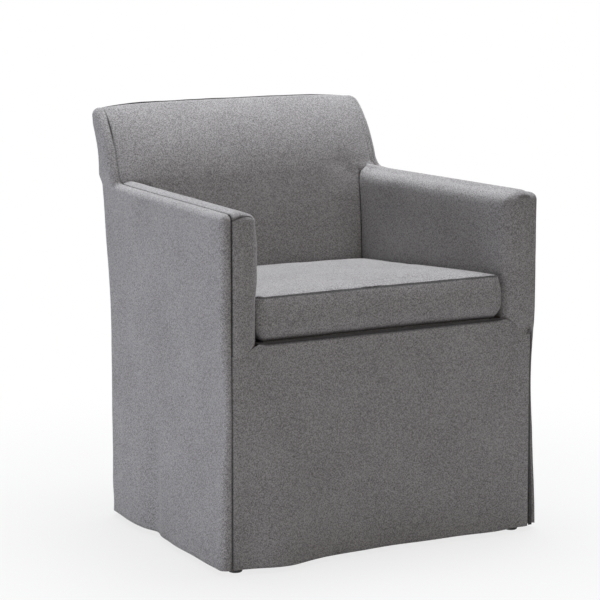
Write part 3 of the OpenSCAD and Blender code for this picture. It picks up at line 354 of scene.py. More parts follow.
class Patchwork:
    """Grids of points that become one mesh."""
    def __init__(self):
        self.points, self.uv, self.ditch, self.quads, self.count = [], [], [], [], 0

    def add(self, xyz, uv, ditch=0.0):
        rows, cols = xyz.shape[:2]
        i = np.arange(rows * cols).reshape(rows, cols) + self.count
        self.quads.append(np.stack([i[:-1, :-1], i[:-1, 1:], i[1:, 1:], i[1:, :-1]], -1).reshape(-1, 4))
        self.points.append(settled(xyz).reshape(-1, 3))
        self.uv.append(uv.reshape(-1, 2))
        self.ditch.append(np.broadcast_to(ditch, (rows, cols)).reshape(-1).astype(float))
        self.count += rows * cols

    def mesh(self, name, core):
        """core is a point behind the cloth, in millimetres, so that the faces turn away from it."""
        points, uv, ditch, quads = (np.concatenate(v) for v in (self.points, self.uv, self.ditch, self.quads))
        cells = np.round(points / WELD).astype(np.int64)
        _, first, where = np.unique(cells, axis=0, return_index=True, return_inverse=True)
        where = where.reshape(-1)
        faces, face_uv = [], []
        for quad in quads:
            kept = [k for n, k in enumerate(quad) if where[k] != where[quad[n - 1]]]
            corners = {where[k] for k in kept}
            if len(corners) >= 3 and len(corners) == len(kept):
                faces.append([int(where[k]) for k in kept])
                face_uv.extend(uv[k] for k in kept)
        me = bpy.data.meshes.new(name)
        me.from_pydata((points[first] * MM).tolist(), [], faces)
        me.uv_layers.new(name="unrolled").data.foreach_set("uv", np.array(face_uv, np.float32).ravel() * MM)
        # the painted shade: 1 where the cloth's colour is darkened to stand for shade in a seam or recess
        dark = me.attributes.new("ditch", "FLOAT", "POINT")
        dark.data.foreach_set("value", ditch[first].astype(np.float32))
        face_out(me, core)
        me.shade_smooth()
        print(name, len(faces), "faces")
        return in_scene(name, me)

# %% [markdown]
# A grid's UV map is measured on the grid itself, row by row and column by column, as cloth lies flat on a
# table. The thickness is left to the Solidify modifier, which keeps the single layer easy to measure.

# %% Unroll, measure and thicken
def unrolled(xyz, middle=None):
    """Lengths along the rows and columns of a grid of points, as UV."""
    rows, cols = xyz.shape[:2]
    step_u = np.linalg.norm(np.diff(xyz, axis=1), axis=2)
    step_v = np.linalg.norm(np.diff(xyz, axis=0), axis=2)
    u = np.concatenate([np.zeros((rows, 1)), np.cumsum(step_u, 1)], 1)
    m = cols // 2 if middle is None else middle
    v = np.concatenate([[0.0], np.cumsum(step_v[:, m])])
    return np.stack([u - u[:, m:m + 1], np.broadcast_to(v[:, None], u.shape)], -1)


def cloth_area(ob):
    """Area of the single layer in square metres, before it gets its thickness."""
    return sum(f.area for f in ob.data.polygons)


def thicken(ob, thickness):
    m = ob.modifiers.new("thickness", "SOLIDIFY")
    m.thickness, m.offset, m.use_rim = thickness * MM, -1, True

# %% [markdown]
# ## Side covers
#
# Each side of the real cover is one L-shaped panel. It covers the outside of the arm and the back, and its
# edges wrap round the padding to a seam that runs up the arm front, along the arm top, round the hollow where
# arm and back meet, over the back and down the rear. Sculpting that edge by hand would not keep the seam
# line, so it is swept: every edge point has a base point on the flat side and a direction, and one profile
# leads from the base round the padding to the seam, where it dips into the ditch.

# %% Wrapped edge
# w runs from 0 at the base, past arc_part where the padding's arc ends, to 1 at the seam
arc_part = 0.75
WRAP = np.array([0, 0.1, 0.2, 0.3, 0.4, 0.5, 0.6, 0.68, 0.75, 0.81, 0.86, 0.9, 0.935, 0.965, 1.0])
DIP, DIP_REACH = 2.0, 4.0
seam_line = seam_inset - seam_gap / 2


def seam_dip(distance):
    """How much of the seam's dip is left at a distance from it."""
    return clamp01(1 - distance / DIP_REACH)


def strip_share(w):
    """Share of the flat strip between the arc and the seam."""
    return clamp01((w - arc_part) / (1 - arc_part))


def edge_profile(w, inset, dip=DIP):
    """Distance past the base line, depth from the face, and how much shade is painted into the cloth's colour
    at the seam.
    """
    t = strip_share(w)
    angle = np.radians(90 * np.minimum(w, arc_part) / arc_part)
    near = seam_dip((1 - t) * (inset - corner_round))
    depth = np.where(t > 0, mix(corner_round, inset, t), corner_round * (1 - np.cos(angle)))
    return corner_round * np.sin(angle) - dip * near ** 3, depth, near ** 2


def wrap_length(w, inset):
    arc = np.minimum(w, arc_part) / arc_part * corner_round * math.pi / 2
    return arc + strip_share(w) * (inset - corner_round)


def corner_grid(psi_a, psi_b, steps):
    """A square of wrap amounts that becomes the padded corner between two edges."""
    a, b = np.meshgrid(steps, steps)
    middle = (psi_a + psi_b) / 2
    safe = np.maximum(np.maximum(a, b), 1e-9)
    psi = np.where(a >= b, mix(psi_a, middle, b / safe), mix(psi_b, middle, a / safe))
    return np.maximum(a, b), psi


def side_map(side, depth, y, z):
    """From depth into the arm, depth from the front and height to the frame's millimetres."""
    return np.stack([-side * (depth - arm_span / 2 + y * taper_tan), y + front_y, z], -1)


def floats(*values):
    """The values as arrays of one shape."""
    return np.broadcast_arrays(*(np.asarray(v, float) for v in values))

# %% [markdown]
# The seam isn't drawn equally tight all the way. On the right it also shows much nearer the outer edge, and
# the right front corner of the skirt stands open along its pleat: the front panel's edge is proud, and the
# side's strip lies behind it. The left corner is shut. So the right strip steps back below the seat.

# %% How the seams are drawn
WRAP_RIGHT = np.array([0, 0.1, 0.2, 0.3, 0.38, 0.43, 0.46, 0.48, 0.5, 0.52, 0.54, 0.57, 0.62, 0.68, 0.75,
    0.83, 0.91, 1.0])
RIGHT_SEAM = 0.5


def seam_tone(y, z):
    """How tight the perimeter seam is drawn, which sets its dip and the shade painted in it: on the arm front
    and the back's upper corner, less elsewhere.
    """
    on_arm = mix(1.0, 0.14, smooth((y - 6) / 16) * smooth((z - 560) / 40))
    on_back = mix(0.2, 1.0, smooth((z - 700) / 40)) * (1 - 0.9 * smooth((z - 758) / 8))
    rear = smooth((y - rear_y(z) + 22) / 8)
    return mix(np.where((y > 430) & (z > arm_height - 6), on_back, on_arm), 0.8, rear)


def panel_edge(z):
    """Half width of the front panel at its proud right edge."""
    return np.interp(z, [10, 173, 290, 353, 390], [310, 309.5, 309, 310, 312.5])


def hollow_behind(w):
    """How far the strip behind the proud edge lies back."""
    return mix(8 * smooth((w - 0.2) / 0.25), 0.3, smooth((w - 0.53) / 0.16))


def below_seat(z):
    return smooth((front_seam + 2 - z) / 26)


def corner_flare(y, z):
    """The right front corner of the hem stands out."""
    return 4.5 * smooth((190 - z) / 170) * bell(y / 70)

# %% [markdown]
# One function lays a point of the side cover: its base point on the flat side, the direction of the wrap, and
# the share w of it. The wave seeds differ from side to side, so that the two covers are not mirror images.

# %% Lay the side cover
def lay_side(side, base_y, base_z, psi, w):
    """Points, unrolled UV and the shade painted at the seam."""
    seed = 20 if side < 0 else 40
    base_y, base_z, psi, w = floats(base_y, base_z, psi, w)
    n = turn_dir(psi)
    length = wrap_length(w, seam_line)
    uv = np.stack([base_y + n[..., 0] * length, base_z + n[..., 1] * length], -1)
    tone = seam_tone(uv[..., 0], uv[..., 1])
    at_rear, at_front = clamp01(n[..., 0]) ** 2, clamp01(-n[..., 0])
    if side > 0:
        tone = tone * at_rear
    dip = DIP * (0.25 + 0.75 * tone) * (tone > 0)
    past, depth, ditch = edge_profile(w, seam_line + 0.45 * (1 - tone), dip)
    ditch = ditch * tone
    y, z = base_y + n[..., 0] * past, base_z + n[..., 1] * past
    if side > 0:
        line = bell((w - RIGHT_SEAM) / 0.03) * (1 - at_rear) * smooth((z - (front_seam - 2)) / 8)
        past, depth = past - 0.9 * line, depth + 0.9 * line
        y, z = base_y + n[..., 0] * past, base_z + n[..., 1] * past
        hidden_from = arm_span / 2 - panel_edge(z) - 10.0
        behind = smooth((depth - hidden_from) / 2.0) * smooth((front_seam - 4 - z) / 14)
        # painted shade along the drawn seam line, and on the strip in the shadow behind the front panel's
        # proud edge
        ditch = np.maximum(ditch, np.maximum(0.75 * line, 0.9 * behind * at_front ** 2))
    pucker = 0.5 * bell((w - 0.45) / 0.3) * waves(base_y / 21 + 7, base_z / 27, seed + 9)
    depth = depth - (swell(base_y, z) + skirt_waves(base_y, z, seed)) * (1 - w) - pucker
    if side > 0:
        y = y + at_front ** 4 * hollow_behind(w) * below_seat(z)
        depth = depth - corner_flare(y, z)
    return side_map(side, depth, y, z), uv, ditch

# %% [markdown]
# The panel is then laid edge by edge: arm front, arm top, the hollow at the back, the back's front edge, its
# top and its rear, with a padded corner between each two that meet at an angle, and the flat part inside
# them.

# %% Side covers
SIDES = ((-1, "left"), (1, "right"))


def side_cover(side, hand):
    work = Patchwork()
    low_z = np.linspace(hem_height, arm_height - corner_round, 90)
    arm_y = np.linspace(corner_round, fillet_center[0], 70)
    psi = np.linspace(90, turn_low, 10)
    hollow = fillet_center - (fillet + corner_round) * turn_dir(psi)
    edge_z = np.linspace(edge_low, edge_high, 24)
    turns = edge_turn(edge_z)
    turns[0], turns[-1] = turn_low, turn_top
    edge = edge_base(edge_z, turns)
    top_y = np.linspace(front_corner[0], rear_corner[0], 5)
    upper = np.concatenate([hollow[1:], edge[1:]])
    rows_z = np.concatenate([low_z, upper[:, 1]])
    rear = rear_y(rows_z) - corner_round
    steps = WRAP_RIGHT if side > 0 else WRAP
    w = steps[None, :]

    def edge_patch(y, z, turn):
        work.add(*lay_side(side, y, z, turn, w))

    def corner_patch(y, z, turn_a, turn_b):
        amount, turn = corner_grid(turn_a, turn_b, steps)
        work.add(*lay_side(side, y, z, turn, amount))

    edge_patch(corner_round, low_z[:, None], 0)
    corner_patch(corner_round, arm_height - corner_round, 0, 90)
    edge_patch(arm_y[:, None], arm_height - corner_round, 90)
    edge_patch(hollow[:, :1], hollow[:, 1:], psi[:, None])
    edge_patch(edge[:, :1], edge[:, 1:], turns[:, None])
    corner_patch(front_corner[0], front_corner[1], turn_top, 90)
    edge_patch(top_y[:, None], top_z, 90)
    corner_patch(rear_corner[0], rear_corner[1], 180, 90)
    edge_patch(rear[:, None], rows_z[:, None], 180)
    # the flat part: below the arm top in two runs that meet under the fillet, then above it
    bend = fillet_center[0] + rear_y(low_z) - rear_y(low_z[-1])
    f = (arm_y - arm_y[0]) / (arm_y[-1] - arm_y[0])
    g = np.linspace(0, 1, 8)
    below = np.concatenate([mix(corner_round, bend[:, None], f[None, :]),
        mix(bend[:, None], rear[:len(low_z), None], g[None, 1:])], 1)
    work.add(*lay_side(side, below, low_z[:, None], 0, 0))
    first = np.vstack([hollow[:1], upper])
    above = mix(first[:, :1], (rear_y(first[:, 1]) - corner_round)[:, None], g[None, :])
    work.add(*lay_side(side, above, first[:, 1:], 0, 0))
    return work.mesh("side_cover_cloth_" + hand, (side * 280, 0, 380))


covers = {}
for side, hand in SIDES:
    covers["side_" + hand] = side_cover(side, hand)

# %% [markdown]
# ## Arm covers
#
# The inside of the arm, its top and its front are one sewn shape between the perimeter seam and the seat.
# It is the same kind of wrap, round the arm's inner edge, and the padding makes that edge much rounder than
# the boards below. A dart closes the top of the arm front: it starts at the perimeter seam and arches over.

# %% Rounder arms
ROUND = 23.0
# left and right: the arm top's extra fullness, the padding inside, and how much of the dart shows
TOP_FULLNESS, INNER_FULLNESS, DART_SHOWN = {-1: 2.0, 1: 3.4}, {-1: 6.0, 1: 0.5}, {-1: 1.0, 1: 0.25}


def rounded(distance, radius):
    """How far a rounded edge lies below the flat face, at a distance from the edge."""
    return radius - np.sqrt(radius ** 2 - np.clip(radius - distance, 0, radius) ** 2)


def rounder(w):
    """How far the rounder corner lies from the base of the wrap, as a share of the plain corner."""
    angle, more = np.radians(90 * clamp01(w / arc_part)), ROUND - corner_round
    turn_sum = np.cos(angle) + np.sin(angle)
    return (np.sqrt((more * turn_sum) ** 2 - 2 * more ** 2 + ROUND ** 2) - more * turn_sum) / corner_round


def face_round(y, z):
    """How far the inner face falls back near the arm's top and front."""
    over_top = rounded(corner_round + np.maximum(0, arm_height - corner_round - z), ROUND)
    over_front = rounded(corner_round + np.maximum(0, y - corner_round), ROUND)
    return over_top + over_front - over_top * over_front / rounded(corner_round, ROUND)


def dart_line(psi, w):
    """The dart's ditch, which arches over the corner from the seam."""
    turn = mix(38.0, 10.0, np.abs(2 * clamp01((w - 0.5) / 0.5) - 1) ** 2.5)
    return bell((psi - turn) * math.pi / 180 * 15 / 1.7) * smooth((w - 0.5) / 0.15)

# %% [markdown]
# Here a point has a share along the arm, from its front to the inside back, a share of the height above the
# seat, and again the direction and share of the wrap. The padding swells the face and crowns the arm top.

# %% Lay the arm cover
ARM_RUN = 440.0
arm_strip = arm_width - seam_inset - seam_gap / 2


def lay_arm(side, along, height_share, psi, w):
    """Points, unrolled UV and the shade painted at the seams."""
    seed = 60 if side < 0 else 70
    along, height_share, psi, w = floats(along, height_share, psi, w)
    n = turn_dir(psi)
    length = wrap_length(w, arm_strip)
    tone = 0.0 if side > 0 else seam_tone(corner_round + along * ARM_RUN + n[..., 0] * length,
        arm_height - 60 + 46 * height_share + n[..., 1] * length)
    past, inward, ditch = edge_profile(w, arm_strip, DIP * tone)
    strip, closer = strip_share(w), rounder(w)
    past = np.where(strip > 0, past - rounded(inward, ROUND), past * closer)
    inward = np.where((strip > 0) | (w <= 0), inward, corner_round - (corner_round - inward) * closer)
    on_top = np.sin(np.radians(psi)) > 0.5
    crown = (arm_crown + TOP_FULLNESS[side] * on_top) * np.sin(np.pi * strip) * smooth(strip / 0.6)
    past = past + crown + 0.5 * pad_waves(inward * 2, along * 400, seed) * (1 - strip ** 4) * clamp01(w / 0.2)
    depth = arm_width - inward
    on_front = along <= 0
    z_low = np.where(on_front, seam_under_arm(depth) - 3, tuck_z(mix(0, back_foot, along)) + 1)
    z = mix(z_low, arm_height - corner_round, height_share) + n[..., 1] * past
    y_rear = inside_y(arm_inner_half(back_foot) + inward, z) + 2.5 + 12 * smooth((w - 0.7) / 0.1)
    y = mix(corner_round, y_rear, along) + n[..., 0] * past
    rear_edge = seam_dip((1 - along) * ARM_RUN)
    low_edge = clamp01(1.7 - height_share * (arm_height - z_low) / DIP_REACH)
    y = y + np.where(on_front & (w > 0), low_edge, 0) ** 3 * clamp01(-n[..., 0])
    dart = dart_line(psi, w) * (height_share >= 1) * DART_SHOWN[side]
    y, z = y - n[..., 0] * 1.3 * dart, z - n[..., 1] * 1.3 * dart
    depth = depth - np.where(w > 0, 0.0, face_round(y, z))
    in_middle = (0.7 + 0.3 * np.sin(np.pi * clamp01(along))) * (1 - along ** 8)
    bulge = INNER_FULLNESS[side] * in_middle * smooth((z - 478) / 40) * smooth((arm_height - 4 - z) / 60)
    depth = depth + (bulge + pad_waves(y, z, seed + 3)) * (1 - w) - DIP * rear_edge ** 3 * (1 - w)
    uv = np.stack([y + n[..., 0] * (length - past), z + n[..., 1] * (length - past)], -1)
    # painted shade: in the perimeter seam, where the arm meets the back, and along the dart
    dark = np.maximum.reduce([tone * ditch, 0.8 * rear_edge ** 2 * smooth((0.4 - w) / 0.2), 0.8 * dart])
    return side_map(side, depth, y, z), uv, dark

# %% [markdown]
# The rows and columns of the grids lie close together at the seams and at the inside back, where the cloth
# dips, and wide apart on the flat. So the mesh stays light where nothing happens.

# %% Arm covers
ARM_WRAP = np.concatenate([np.linspace(0, 0.75, 13), np.linspace(0.775, 1, 13)])


def arm_cover(side, hand):
    """Its front, inner face and top, and the padded corner where these meet."""
    rise = np.concatenate([[0, 0.006, 0.012, 0.02], np.linspace(0.035, 1, 34)])
    run = np.concatenate([np.linspace(0, 0.985, 62), [0.9905, 0.9945, 0.9975, 1.0]])
    amount, turn = corner_grid(0, 90, ARM_WRAP)
    work = Patchwork()
    work.add(*lay_arm(side, 0, rise[:, None], 0, ARM_WRAP[None, :]))
    work.add(*lay_arm(side, run[:, None], rise[None, :], 0, 0))
    work.add(*lay_arm(side, run[:, None], 1, 90, ARM_WRAP[None, :]))
    work.add(*lay_arm(side, 0, 1, turn, amount))
    return work.mesh("arm_cover_cloth_" + hand, (side * 294, 0, 540))


for side, hand in SIDES:
    covers["arm_" + hand] = arm_cover(side, hand)

# %% [markdown]
# ## Inside and outside back
#
# The inside back is narrow between the arms, then as wide as the seams, and rolls over the top to a seam on
# the rear edge. Foam crowns it, so it stands out in the middle and dives into the side seams.

# %% The roll of the back
SEAM_STATIONS = np.array([0.0, 0.5, 1.1, 2.0, 3.2, 5.0, 8.0])
DIMPLE_X, DIMPLE = 205.0, 3.2
rear_seam = 2.8
inner_low = float(arm_inner_half(inside_y(0.0, fillet_z))) - seam_gap
roll_run = rear_corner[0] - front_corner[0]


def fine_ends(half, count):
    """Stations across a panel from -half to half, close together at both seams."""
    inner = np.linspace(-half + 14, half - 14, count)
    return np.concatenate([-half + SEAM_STATIONS, inner, (half - SEAM_STATIONS)[::-1]])


def roll_point(x, s, hold=0.0):
    """A point of the back's cover over the roll: hold is how deep it dips below the surface."""
    y, z = seam_yz(s)
    n = turn_dir(seam_turn(s))
    rise = seam_crown(s) * across(x / seam_half(y, panel_inset), s) - hold
    return np.stack([x + 0 * y, y + n[..., 0] * rise + front_y, z + n[..., 1] * rise], -1)

# %% [markdown]
# Above the arms the inside back is laid along the seam's number s and across from seam to seam. Its two lower
# ends tuck down behind the arms.

# %% Inside back above the arms
def back_over_arms(work, core):
    """Adds the upper part and its tucks, and returns the row of points that the lower part starts from."""
    s = np.concatenate([[0, 0.008, 0.02], np.linspace(0.045, 1, 26), np.linspace(1.1, 2, 9), [2.2, 2.38],
        rear_seam - np.array([0.28, 0.2, 0.13, 0.08, 0.04, 0])])[:, None]
    y_s, z_s = seam_yz(s)
    wide = seam_half(y_s, panel_inset)
    outer = np.concatenate([[0.0, 0.7, 1.5, 2.4, 3.4, 4.6, 6.5], np.linspace(10, 32, 4)])
    side_x = mix(wide, inner_low, clamp01(outer / 36)[None, :])
    x = np.concatenate([-side_x, np.broadcast_to(core, (len(s), len(core))), side_x[:, ::-1]], 1)
    from_side = wide - np.abs(x)
    from_low = np.where(np.abs(x) > inner_low, s * 131, 99)
    from_rear = (rear_seam - s) * roll_run
    dip = np.maximum(np.maximum(seam_dip(from_side), 0.3 * seam_dip(from_low)), seam_dip(from_rear))
    near_side = from_side < 5
    tone = np.where(near_side, seam_tone(y_s, z_s), 0.8)
    tone = np.where(near_side & (x > 0), 0.0, tone)
    dimple = DIMPLE * bell((x - DIMPLE_X) / 26) * bell((s - 0.02) / 0.16)
    eased = belly(z_s + 5 * clamp01(1 - s)) * across(x / wide, s)
    hold = DIP * dip ** 3 + dimple - 0.8 * pad_waves(x, s * 130, 80) + eased
    hold = hold - DIP * 0.75 * dip ** 3 * np.where(near_side, 1 - tone, 0)
    hold = hold - DIP * 0.25 * dip ** 3 * (tone == 0)
    grid = roll_point(x, s, hold)
    # painted shade in the seams, where the cloth dips
    work.add(grid, unrolled(grid), dip ** 2 * tone)
    first, last = len(outer), len(outer) + len(core) - 1
    for piece in (grid[0, :first + 1], grid[0, last:]):
        tuck = np.stack([piece + np.array(step) for step in (
            (0, 0, 0), (0, 0, -4), (0, 0, -8), (0, 1, -13), (0, 3, -17))])
        work.add(tuck, unrolled(tuck))
    return grid[0, first:last + 1]

# %% [markdown]
# Between the arms it goes on as a plain sheet down to the deck, and its edges turn back behind the arms.

# %% Inside back between the arms
def inside_back():
    work = Patchwork()
    core = fine_ends(inner_low, 60)
    top_row = back_over_arms(work, core)
    t = np.linspace(0, 1, 44)[:, None]
    z = mix(tuck_z(back_foot) + 1, top_row[None, :, 2], t)
    half = arm_inner_half(inside_y(0.0, z) + back_crown * 0.3 * (1 - t)) - seam_gap
    x = mix((core / inner_low)[None, :] * half, core[None, :], t ** 6)
    at_side = seam_dip(np.abs(half) - np.abs(x))
    y = inside_y(x, z) + front_y + DIP * at_side ** 3 - 0.8 * pad_waves(x, z, 80)
    y = y + DIMPLE * bell((x - DIMPLE_X) / 26) * bell((z - 640) / 26)
    y = y + (top_row[:, 1] - y[-1])[None, :] * t ** 4
    lower = np.stack([x, y, z], -1)
    uv = unrolled(lower)
    uv[..., 1] -= uv[-1, 0, 1]
    # painted shade near the side seams low down, and on the edges that turn back behind the arms, into their
    # shadow
    low_part = smooth((1 - t) / 0.12)
    work.add(lower, uv, at_side ** 2 * low_part)
    for col, sign in ((0, -1), (-1, 1)):
        turn = np.stack([lower[:, col] + np.array(step) * np.array([sign, 1, 1]) for step in (
            (0, 0, 0), (1.5, 0.5, 0), (3.5, 2.5, 0), (5, 6, 0))], 1)
        work.add(turn, unrolled(turn, 0), low_part)
    return work.mesh("inside_back_cloth", (0, 560 + front_y, 560))


covers["inside_back"] = inside_back()

# %% [markdown]
# The outside back starts at the same seam with a small welt, and hangs down the rear to the hem. Its long
# hollows are the skirt's, with a seed of their own.

# %% Outside back
def outside_back():
    s = np.concatenate([rear_seam + np.array([0, 0.04, 0.08, 0.13]), np.linspace(3, 4, 12),
        np.linspace(4.008, 5, 110)])[:, None]
    y_s, z = seam_yz(s)
    wide = seam_half(y_s, panel_inset)
    middle = np.linspace(-1, 1, 79)[1:-1]
    x = np.concatenate([SEAM_STATIONS - wide, middle * (wide - SEAM_STATIONS[-1]),
        (wide - SEAM_STATIONS)[:, ::-1]], 1)
    from_seam = (s - rear_seam) * roll_run
    at_side = seam_dip(wide - np.abs(x))
    dip = np.maximum(at_side, seam_dip(from_seam))
    full = mix(4.2, 2.4, smooth((x + 260) / 150)) + 0.5 * waves(x / 40, 0 * x, 91)
    welt = full * smooth((s - rear_seam) / 0.16) * (1 - smooth((s - 3.2) / 0.6)) * across(x / wide)
    grid = roll_point(x, s, DIP * dip ** 3 - skirt_waves(x + 900, z, 90) - welt)
    # painted shade at the side seams and in the top seam's shadow under the welt
    at_top = clamp01(1.6 - from_seam / 1.1) * (s < 3.1)
    work = Patchwork()
    work.add(grid, unrolled(grid), np.maximum(at_side ** 2, at_top))
    return work.mesh("outside_back_cloth", (0, 480 + front_y, 400))


covers["outside_back"] = outside_back()

# %% [markdown]
# ## Front cover
#
# The skirt and the seat front are one panel. Below the arms it ends at a seam to the arm fronts; between the
# arms it rolls over the seat's front edge and runs under the cushion. Its hem swings out and in, because the
# cloth hangs freely from the seat down. At the right corner its edge is folded back and stands proud.

# %% Hanging front
def hem_wave(x):
    return hem_swell * bell((x + 215) / 60) + 8 * bell((x - 235) / 50) - 5 * bell((x - 15) / 60)


def hanging_front(x, z_top, narrow, wide):
    """The skirt up to the height z_top at each x: its points and the shade painted in its seams."""
    t = np.concatenate([np.linspace(0, 0.965, 66), [0.975, 0.983, 0.99, 0.9955, 1.0]])[:, None]
    z = mix(hem_height, z_top[None, :], t)
    x = x[None, :]
    fade = clamp01(1 - (z - hem_height) / 300) ** 1.5
    under_arm = np.abs(x) >= narrow - 0.5
    from_top = np.where(under_arm, z_top[None, :] - z, 99)
    from_side = wide - np.abs(x)
    open_side = (x > 0) & (z < front_seam + 2)
    dip = np.maximum(seam_dip(from_top), np.where(open_side, 0, seam_dip(from_side)))
    dip = np.where(under_arm & (from_side > 5), 0.0, dip)
    proud = 4.0 * smooth((x - wide + 34) / 30) * smooth((front_seam - z) / 40)
    y = -hem_wave(x) * fade - skirt_waves(x + 400, z, 100) * smooth(from_side / 20) - proud + DIP * dip ** 3
    lean = (panel_edge(z) - wide) * smooth((x - 230) / 80) * (z < front_seam + 3)
    return np.stack([x + lean, y + front_y, z], -1), dip ** 2 * np.where(from_top < 5, 0.0, 0.8)

# %% [markdown]
# Two strips go on from the panel: the fold behind its proud right edge, and the lap over the seat's front
# edge, which gets painted shade as it runs into the shadow under the cushion.

# %% Front cover
def proud_fold(edge, uv_start):
    fold = [(0.8, 0.8), (0.9, 1.9), (0.2, 2.9), (-2.0, 3.3), (-12.0, 3.4)]
    ease = smooth((front_seam - 4 - edge[:, 2]) / 24)
    rows = [edge] + [edge + np.stack([dx * (0.4 + 0.6 * ease), dy * ease, 0 * ease], -1) for dx, dy in fold]
    turned = np.stack(rows, 1)
    # painted shade that deepens as the fold turns back into the shadow behind the edge
    return turned, unrolled(turned, 0) + uv_start, np.minimum(np.linspace(0, 1, len(rows)), 0.6)[None, :]


def seat_lap(base, radius):
    rows = [base]
    for a in np.radians(np.linspace(0, 90, 9))[1:]:
        rows.append(np.stack([base[:, 0], base[:, 1] + radius * (1 - math.cos(a)),
            deck_height - radius + radius * math.sin(a)], -1))
    for depth in (11, 14, 18, 22, 26, 30):
        squeeze = (arm_inner_half(depth) - seam_gap) / (arm_inner_half(0) - seam_gap)
        rows.append(np.stack([base[:, 0] * squeeze, base[:, 1] + depth, tuck_z(depth) + 0 * base[:, 0]], -1))
    return np.stack(rows)


def front_cover():
    narrow = arm_span / 2 - arm_width - seam_gap
    wide = arm_span / 2 - seam_inset - seam_gap / 2
    outer = np.concatenate([[0.0, 0.6, 1.3, 2.2, 3.4, 5.0, 8.0], np.linspace(13, wide - narrow, 9)[:-1]])
    x = np.concatenate([-wide + outer, np.linspace(-narrow, narrow, 100), (wide - outer)[::-1]])
    radius = 0.4 + (deck_round - 0.4) * smooth((narrow - np.abs(x)) / 20)
    arm_seam = np.minimum(seam_under_arm(arm_span / 2 - np.abs(x)), deck_height - 0.4)
    grid, dark = hanging_front(x, np.where(np.abs(x) > narrow, arm_seam, deck_height - radius), narrow, wide)
    uv = unrolled(grid)
    work = Patchwork()
    work.add(grid, uv, dark)
    open_rows = np.flatnonzero(grid[:, -1, 2] < front_seam - 4)
    work.add(*proud_fold(grid[open_rows, -1], uv[open_rows[0], -1]))
    between = np.abs(x) <= narrow + 1e-6
    lap = seat_lap(grid[-1, between], radius[between])
    # painted shade on the lap rows that run into the shadow under the cushion
    shaded = clamp01((np.arange(len(lap)) - 2) / 3.0)[:, None]
    work.add(lap, unrolled(lap) + np.array([0, uv[-1, len(x) // 2, 1]]), shaded)
    return work.mesh("front_cover_cloth", (0, 40 + front_y, 250))


covers["front"] = front_cover()

# %% [markdown]
# ## Pleat flaps
#
# Behind each front corner a narrow flap hangs round the corner and shuts the pleat from inside. It follows
# the side cover's own formulas, one cloth further in, so that it neither touches nor shows.

# %% Pleat flaps
def pleat_flap(side, hand):
    inset = cloth + seam_gap + 0.2
    radius = corner_round - inset
    z = np.linspace(hem_height + 2, front_seam - 8, 60)[:, None]
    w = np.linspace(1, 0, 16)
    angle = np.radians(90 * np.minimum(w, arc_part) / arc_part)
    on_strip = mix(corner_round, seam_inset + pleat_width, strip_share(w))
    back = np.linspace(corner_round + 6, pleat_width, 6)
    depth = np.concatenate([np.where(strip_share(w) > 0, on_strip, corner_round - radius * np.cos(angle)),
        np.full(len(back), inset)])[None, :]
    y = np.concatenate([corner_round - radius * np.sin(angle), back])[None, :]
    hanging = np.concatenate([1 - w, np.ones(len(back))])[None, :]
    depth = depth - swell(np.maximum(y, corner_round), z) * hanging
    if side > 0:
        y = y + np.concatenate([hollow_behind(w), np.zeros(len(back))])[None, :] * below_seat(z)
        depth = depth - corner_flare(y, z)
    grid = side_map(side, depth + 0 * z, y + 0 * z, z + 0 * y)
    work = Patchwork()
    work.add(grid, unrolled(grid))
    return work.mesh("pleat_flap_cloth_" + hand, (side * 290, 60 + front_y, 200))


for side, hand in SIDES:
    covers["flap_" + hand] = pleat_flap(side, hand)

# %% [markdown]
# ## Deck cloth and dust cloth
#
# A plain dark cloth lies on the deck under the cushion, and a thin non-woven cloth shuts the chair from
# below. Both are flat sheets that sag a little between what holds them, so they are grids in the deck's own
# pitched frame, with a low wave on them.

# %% Deck cloth
def pitched(points):
    """From the deck's own frame to the chair's."""
    a = math.radians(-seat_pitch)
    y, z = points[..., 1], points[..., 2]
    return np.stack([points[..., 0], y * math.cos(a) - z * math.sin(a) + front_y + deck_round,
        y * math.sin(a) + z * math.cos(a) + deck_height], -1)


def deck_sheet():
    y = np.linspace(30.4, float(inside_y(0.0, tuck_z(back_foot))) - 1.5, 70)[:, None]
    u = np.linspace(-1, 1, 80)[None, :]
    x = u * (arm_inner_half(y) - 2.8)
    sag = -1.1 * (1 - u ** 4) * np.sin(np.pi * np.linspace(0, 1, 70))[:, None] + 0.5 * pad_waves(x, y, 110)
    points = pitched(np.stack([x, y - deck_round + 0 * x, np.minimum(sag - 0.4, -0.1)], -1))
    work = Patchwork()
    work.add(points, unrolled(points))
    return work.mesh("deck_lining", (0, 0, 0))


covers["deck"] = deck_sheet()

# %% [markdown]
# The dust cloth is cut out round the four posts. Its outline is given as depths and half widths, and the
# cloth sags most in the middle.

# %% Dust cloth
# the cloth's front edge, the rear of the front posts, the front of the rear posts, and its rear edge
dust_y = (14.0, 52.0, 461.1, 490.3)
dust_half, dust_half_wide = (267.9, 265.5, 239.5, 237.7), (288.5, 262.5)


def dust_level(x, y):
    mid = (1 - (x / 290) ** 2) * np.sin(np.pi * clamp01((y - dust_y[0]) / 476))
    return -80.6 - 5 * mid + 0.7 * waves(x / 40, y / 45, 120) * mid


